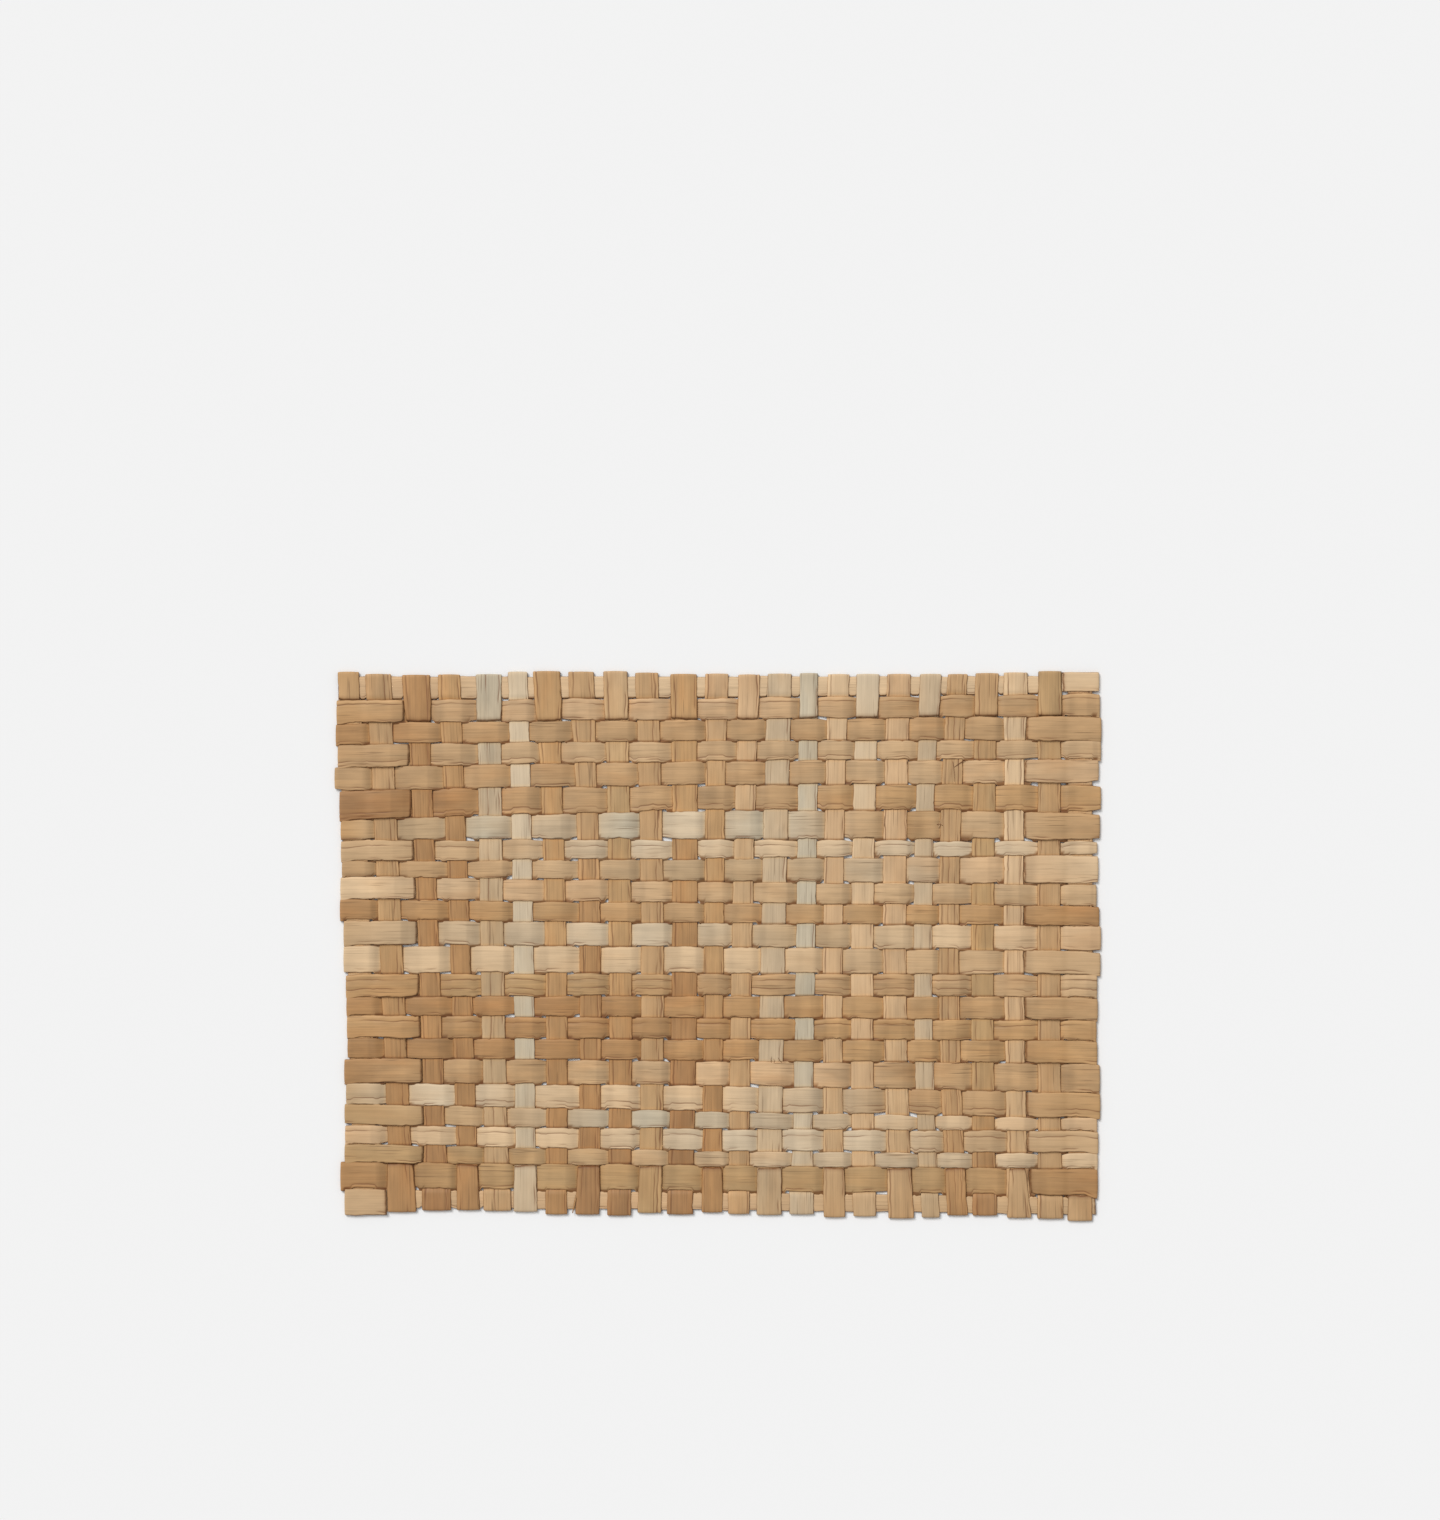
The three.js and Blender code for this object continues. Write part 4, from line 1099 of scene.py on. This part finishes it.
COARSE_SHARE = 0.4
FIBRE_SWING = 0.16
DARKEST_FIBRE = 0.87
PALEST_FIBRE = 1.08
DASH_DEPTH = 0.4
DASH_COLOUR = (0.13, 0.065, 0.026, 1)
WARMED = (1.0, 0.86, 0.72, 1)
DULLED = (0.96, 0.98, 1.02, 1)
LARGEST_HUE_CHANGE = 0.5
LEAST_SIDE_LINE = 0.05  # strength of the worn and painted shadow line along the sides where it is broken
BLOTCH_SWING = 0.7
CREASE_STAIN = 0.8
SIDE_STAIN_AND_SHADOW = 0.85
# Painted shade where a strip lies under another or beside one that covers it.
PAINTED_SHADE_AMOUNT = 0.92
PAINTED_SHADE_COLOUR = (0.42, 0.27, 0.15, 1)
ROUGHER = 0.08  # between the fibres
SMOOTHER = 0.06  # on them
LEAF_SPECULAR = 0.35
FIBRE_BUMP = 0.6
FIBRE_DEPTH = 0.0002  # metres


class Wiring:
    """Adds and links nodes of one tree."""

    def __init__(self, tree):
        self.tree = tree

    def node(self, kind, inputs=None, **settings):
        made = self.tree.nodes.new(kind)
        for key, value in settings.items():
            setattr(made, key, value)
        for key, value in (inputs or {}).items():
            if isinstance(value, bpy.types.NodeSocket):
                self.tree.links.new(value, made.inputs[key])
            else:
                made.inputs[key].default_value = value
        return made

    def math(self, operation, *values, clamp=False):
        made = self.node("ShaderNodeMath", dict(enumerate(values)), operation=operation)
        made.use_clamp = clamp
        return made.outputs[0]

    def range(self, value, low, high, to_low=0.0, to_high=1.0):
        made = self.node("ShaderNodeMapRange", {
            "Value": value, "From Min": low, "From Max": high,
            "To Min": to_low, "To Max": to_high})
        return made.outputs[0]

    def mix(self, amount, first, second, blend="MIX"):
        made = self.node("ShaderNodeMix", data_type="RGBA", blend_type=blend)
        for socket, value in ((made.inputs[0], amount), (made.inputs[6], first),
                              (made.inputs[7], second)):
            if isinstance(value, bpy.types.NodeSocket):
                self.tree.links.new(value, socket)
            else:
                socket.default_value = value
        return made.outputs[2]

    def leaf_noise(self, flat, grain):
        scaled = self.node("ShaderNodeVectorMath", {
            0: flat, 1: (1 / grain.along, 1 / grain.across, 0), 2: (grain.shift,) * 3},
            operation="MULTIPLY_ADD")
        made = self.node("ShaderNodeTexNoise", {
            "Vector": scaled.outputs[0], "Scale": 1.0, "Detail": grain.detail,
            "Roughness": grain.roughness})
        return made.outputs[0]


def new_group(title, inputs, outputs):
    group = bpy.data.node_groups.new(title, "ShaderNodeTree")
    for name, kind in inputs:
        group.interface.new_socket(name, in_out="INPUT", socket_type="NodeSocket" + kind)
    for name, kind in outputs:
        group.interface.new_socket(name, in_out="OUTPUT", socket_type="NodeSocket" + kind)
    wiring = Wiring(group)
    entry = wiring.node("NodeGroupInput")
    leave = wiring.node("NodeGroupOutput")
    return group, wiring, entry.outputs, leave.inputs


def leaf_fibre_group():
    """Lengthwise fibre: paler and darker lines, and short dark dashes."""
    group, w, given, result = new_group(
        "leaf_fibre",
        [("Colour", "Color"), ("Flat", "Vector"), ("Fibre", "Float"), ("Dashes", "Float")],
        [("Colour", "Color"), ("Height", "Float"), ("Lines", "Float")])
    coarse = w.math("MULTIPLY", w.leaf_noise(given["Flat"], COARSE_FIBRE), COARSE_SHARE)
    fine = w.math("MULTIPLY", w.leaf_noise(given["Flat"], FINE_FIBRE), 1 - COARSE_SHARE)
    lines = w.math("ADD", coarse, fine)
    spread = w.math("MULTIPLY", w.math("SUBTRACT", lines, 0.5), given["Fibre"])
    darker = w.range(spread, -FIBRE_SWING, 0.0, DARKEST_FIBRE, 1.0)
    paler = w.range(spread, 0.0, FIBRE_SWING, 1.0, PALEST_FIBRE)
    shade = w.math("MULTIPLY", darker, paler)
    dash = w.range(w.leaf_noise(given["Flat"], DASH), *DASH_RANGE)
    patch = w.range(w.leaf_noise(given["Flat"], DASHED_PATCH), *PATCH_RANGE)
    dash = w.math("MULTIPLY", w.math("MULTIPLY", dash, patch), given["Dashes"])
    lit = w.node("ShaderNodeVectorMath", {0: given["Colour"]}, operation="SCALE")
    group.links.new(shade, lit.inputs["Scale"])
    stained = w.mix(dash, lit.outputs[0], DASH_COLOUR)
    group.links.new(stained, result["Colour"])
    depth = w.math("SUBTRACT", lines, w.math("MULTIPLY", dash, DASH_DEPTH))
    group.links.new(depth, result["Height"])
    group.links.new(lines, result["Lines"])
    return group


def leaf_blotch_group():
    """Slow changes of colour over the leaf: warmer and duller, darker and paler patches."""
    group, w, given, result = new_group(
        "leaf_blotches",
        [("Colour", "Color"), ("Flat", "Vector"), ("Amount", "Float")], [("Colour", "Color")])
    patch = w.leaf_noise(given["Flat"], BLOTCH)
    hue = w.leaf_noise(given["Flat"], HUE)
    warm = w.range(hue, *WARM_RANGE, 0.0, LARGEST_HUE_CHANGE)
    warm = w.math("MULTIPLY", warm, given["Amount"], clamp=True)
    dull = w.range(hue, *DULL_RANGE, 0.0, LARGEST_HUE_CHANGE)
    dull = w.math("MULTIPLY", dull, given["Amount"], clamp=True)
    warmed = w.mix(warm, given["Colour"], WARMED, "MULTIPLY")
    dulled = w.mix(dull, warmed, DULLED, "MULTIPLY")
    swing = w.math("MULTIPLY", w.math("SUBTRACT", patch, 0.5), given["Amount"])
    shade = w.math("ADD", w.math("MULTIPLY", swing, BLOTCH_SWING), 1.0)
    lit = w.node("ShaderNodeVectorMath", {0: dulled}, operation="SCALE")
    group.links.new(shade, lit.inputs["Scale"])
    group.links.new(lit.outputs[0], result["Colour"])
    return group


def leaf_wear_and_shade_group():
    """Darkening in creases and along worn sides, with a painted contact shadow along the sides,
    and painted shade where a strip lies under another or beside one that covers it.
    """
    group, w, given, result = new_group(
        "leaf_wear",
        [("Colour", "Color"), ("Flat", "Vector"), ("Marks", "Color"), ("Stain", "Color")],
        [("Colour", "Color")])
    marks = w.node("ShaderNodeSeparateColor", {0: given["Marks"]}).outputs
    # Worn sides with a painted contact shadow line, broken here and there.
    breaks = w.leaf_noise(given["Flat"], SIDE_LINE_BREAKS)
    broken = w.range(breaks, *SIDE_LINE_RANGE, LEAST_SIDE_LINE, 1.0)
    crease = w.math("MULTIPLY", marks[0], CREASE_STAIN)
    rim = w.math("MULTIPLY", w.math("MULTIPLY", marks[1], broken), SIDE_STAIN_AND_SHADOW)
    stain = w.math("MAXIMUM", crease, rim, clamp=True)
    # Painted shade where a strip lies under another or beside one that covers it.
    painted_shade = w.mix(w.math("MULTIPLY", marks[2], PAINTED_SHADE_AMOUNT), given["Colour"], PAINTED_SHADE_COLOUR,
                    "MULTIPLY")
    group.links.new(w.mix(stain, painted_shade, given["Stain"]), result["Colour"])
    return group


def leaf_material(slot, leaf, groups, stain):
    material = bpy.data.materials.new("dried_" + slot)
    material.use_nodes = True
    tree = material.node_tree
    tree.nodes.clear()
    w = Wiring(tree)
    output = w.node("ShaderNodeOutputMaterial")
    flat = w.node("ShaderNodeUVMap", uv_map="leaf").outputs[0]
    tone_here = w.node("ShaderNodeVertexColor", layer_name="tone").outputs["Color"]
    marks = w.node("ShaderNodeVertexColor", layer_name="marks").outputs["Color"]
    blotches = w.node("ShaderNodeGroup", node_tree=groups["blotches"])
    fibre = w.node("ShaderNodeGroup", node_tree=groups["fibre"])
    wear = w.node("ShaderNodeGroup", node_tree=groups["wear"])
    for made in (blotches, fibre, wear):
        tree.links.new(flat, made.inputs["Flat"])
    tree.links.new(tone_here, blotches.inputs["Colour"])
    blotches.inputs["Amount"].default_value = leaf.blotches
    tree.links.new(blotches.outputs["Colour"], fibre.inputs["Colour"])
    fibre.inputs["Fibre"].default_value = leaf.fibre
    fibre.inputs["Dashes"].default_value = leaf.dashes
    tree.links.new(fibre.outputs["Colour"], wear.inputs["Colour"])
    tree.links.new(marks, wear.inputs["Marks"])
    wear.inputs["Stain"].default_value = (*stain, 1)
    rough = w.range(fibre.outputs["Lines"], *LINES_RANGE, leaf.roughness + ROUGHER,
                    leaf.roughness - SMOOTHER)
    bump = w.node("ShaderNodeBump", {"Strength": FIBRE_BUMP, "Distance": FIBRE_DEPTH})
    tree.links.new(fibre.outputs["Height"], bump.inputs["Height"])
    shader = w.node("ShaderNodeBsdfPrincipled", {
        "Base Color": wear.outputs["Colour"], "Roughness": rough,
        "Normal": bump.outputs[0], "Specular IOR Level": LEAF_SPECULAR})
    tree.links.new(shader.outputs[0], output.inputs["Surface"])
    return material


def linear(colour):
    c = np.asarray(colour[:3], float)
    return np.where(c <= 0.04045, c / 12.92, ((c + 0.055) / 1.055) ** 2.4)


# The pieces and the stage

SLOTS = {part["node"]: part["material_slot"] for part in frame["record"]["subparts"]}

FLOOR_REACH = 6.0  # from its middle to its sides, in metres
PAPER_ROUGHNESS = 0.9
PAPER_SPECULAR = 0.1
KEY_ANGLES = (math.radians(-32), math.radians(-28), 0)
PICTURE_CENTRE = (0.0012, 0.1118)  # place on the floor, in metres, that the camera looks down at
SENSOR_WIDTH = 36  # millimetres


def leaf_look():
    """The leaf materials by slot, and the leaf colours by name; made once."""
    settings = bpy.context.scene.leaf_tones
    names = list(LeafToneSettings.__annotations__)
    tones = {name: linear(getattr(settings, name)) for name in names}
    missing = [slot for slot in LEAVES if "dried_" + slot not in bpy.data.materials]
    if missing:
        groups = {"fibre": leaf_fibre_group(), "blotches": leaf_blotch_group(),
                  "wear": leaf_wear_and_shade_group()}
        for slot in missing:
            leaf_material(slot, LEAVES[slot], groups, tones["stain"])
    return {slot: bpy.data.materials["dried_" + slot] for slot in LEAVES}, tones


def lay_strip(kind, number, strip, run, place, rng):
    settings = bpy.context.scene.leaf_strips
    node = f"{kind}_{number:02d}"
    materials, tones = leaf_look()
    piece, length, width = strip_mesh("leaf_" + node, strip, run, place, settings, tones, rng)
    piece.data.materials.append(materials[SLOTS[node]])
    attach(piece, "root")
    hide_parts(node)
    length, width = length * MM, width * MM


def all_wefts():
    settings = bpy.context.scene.leaf_strips
    return [Weft(number, settings) for number in range(1, COUNT + 1)]


class PLACEMAT_OT_wefts(bpy.types.Operator):
    """Lay the strips that run along the long side"""

    bl_idname = "placemat.wefts"
    bl_label = "Lay Wefts"

    def execute(self, context):
        for weft in all_wefts():
            run = edge_weft_run(weft) if weft.edge_strip else weft.run()
            lay_strip("weft", weft.number, weft.strip, run, lambda a, c, z: (a, c, z), weft.rng)
        return {"FINISHED"}


class PLACEMAT_OT_warps(bpy.types.Operator):
    """Lay the strips that run along the short side"""

    bl_idname = "placemat.warps"
    bl_label = "Lay Warps"

    def execute(self, context):
        wefts = all_wefts()
        for number in range(1, COUNT + 1):
            warp = Warp(number, wefts, context.scene.leaf_strips)
            lay_strip("warp", number, warp.strip, warp.run(), lambda a, c, z: (-c, a, z),
                      warp.rng)
        return {"FINISHED"}


class PLACEMAT_OT_splinters(bpy.types.Operator):
    """Pull a few splinters of leaf loose"""

    bl_idname = "placemat.splinters"
    bl_label = "Pull Splinters"

    def execute(self, context):
        materials, tones = leaf_look()
        name = "loose_splinters"
        piece = bpy.data.objects.new(name, splinter_mesh(name, tones))
        context.scene.collection.objects.link(piece)
        piece.data.materials.append(materials["leaf_brown"])
        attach(piece, "root")
        return {"FINISHED"}


class PLACEMAT_OT_stage(bpy.types.Operator):
    """Set up the floor, the light and the camera"""

    bl_idname = "placemat.stage"
    bl_label = "Set Up Stage"

    def execute(self, context):
        settings = context.scene.placemat_stage
        scene = context.scene
        floor = bpy.data.meshes.new("floor")
        corners = [(x * FLOOR_REACH, y * FLOOR_REACH, 0)
                   for x, y in ((-1, -1), (1, -1), (1, 1), (-1, 1))]
        floor.from_pydata(corners, [], [(0, 1, 2, 3)])
        paper = bpy.data.materials.new("floor_paper")
        paper.use_nodes = True
        shader = paper.node_tree.nodes["Principled BSDF"]
        shader.inputs["Base Color"].default_value = (*settings.floor_colour, 1)
        shader.inputs["Roughness"].default_value = PAPER_ROUGHNESS
        shader.inputs["Specular IOR Level"].default_value = PAPER_SPECULAR
        floor.materials.append(paper)
        ground = bpy.data.objects.new("floor", floor)
        scene.collection.objects.link(ground)

        world = scene.world or bpy.data.worlds.new("studio")
        scene.world = world
        world.use_nodes = True
        sky = world.node_tree.nodes["Background"]
        sky.inputs["Color"].default_value = (1, 1, 1, 1)
        sky.inputs["Strength"].default_value = settings.sky_strength

        lamp = bpy.data.lights.new("key", "SUN")
        lamp.energy = settings.key_strength
        lamp.angle = settings.key_softness
        key = bpy.data.objects.new("key", lamp)
        key.rotation_euler = KEY_ANGLES
        scene.collection.objects.link(key)

        lens = bpy.data.cameras.new("camera")
        lens.lens = settings.camera_lens
        lens.sensor_width = SENSOR_WIDTH
        distance = settings.picture_height * settings.camera_lens / lens.sensor_width
        camera = bpy.data.objects.new("camera", lens)
        camera.location = (*PICTURE_CENTRE, distance + MID_HEIGHT * MM)
        scene.collection.objects.link(camera)
        scene.camera = camera
        scene.view_settings.view_transform = "Standard"
        return {"FINISHED"}


class PLACEMAT_PT_panel(bpy.types.Panel):
    """Steps and settings of the placemat"""

    bl_idname = "PLACEMAT_PT_panel"
    bl_label = "Woven Placemat"
    bl_space_type = "VIEW_3D"
    bl_region_type = "UI"
    bl_category = "Placemat"

    def draw(self, context):
        for step in STEPS:
            self.layout.operator(step.bl_idname)
        for name, group in SETTINGS.items():
            for prop in group.__annotations__:
                self.layout.prop(getattr(context.scene, name), prop)


SETTINGS = {"leaf_strips": LeafStripSettings, "leaf_tones": LeafToneSettings,
            "placemat_stage": StageSettings}
STEPS = (PLACEMAT_OT_stage, PLACEMAT_OT_wefts, PLACEMAT_OT_warps, PLACEMAT_OT_splinters)


def register():
    for item in (*SETTINGS.values(), *STEPS, PLACEMAT_PT_panel):
        bpy.utils.register_class(item)
    for name, group in SETTINGS.items():
        setattr(bpy.types.Scene, name, PointerProperty(type=group))


def unregister():
    for name in SETTINGS:
        delattr(bpy.types.Scene, name)
    for item in reversed((*SETTINGS.values(), *STEPS, PLACEMAT_PT_panel)):
        bpy.utils.unregister_class(item)


def main():
    register()
    bpy.ops.placemat.stage()
    bpy.ops.placemat.wefts()
    bpy.ops.placemat.warps()
    bpy.ops.placemat.splinters()


if __name__ == "__main__":
    main()
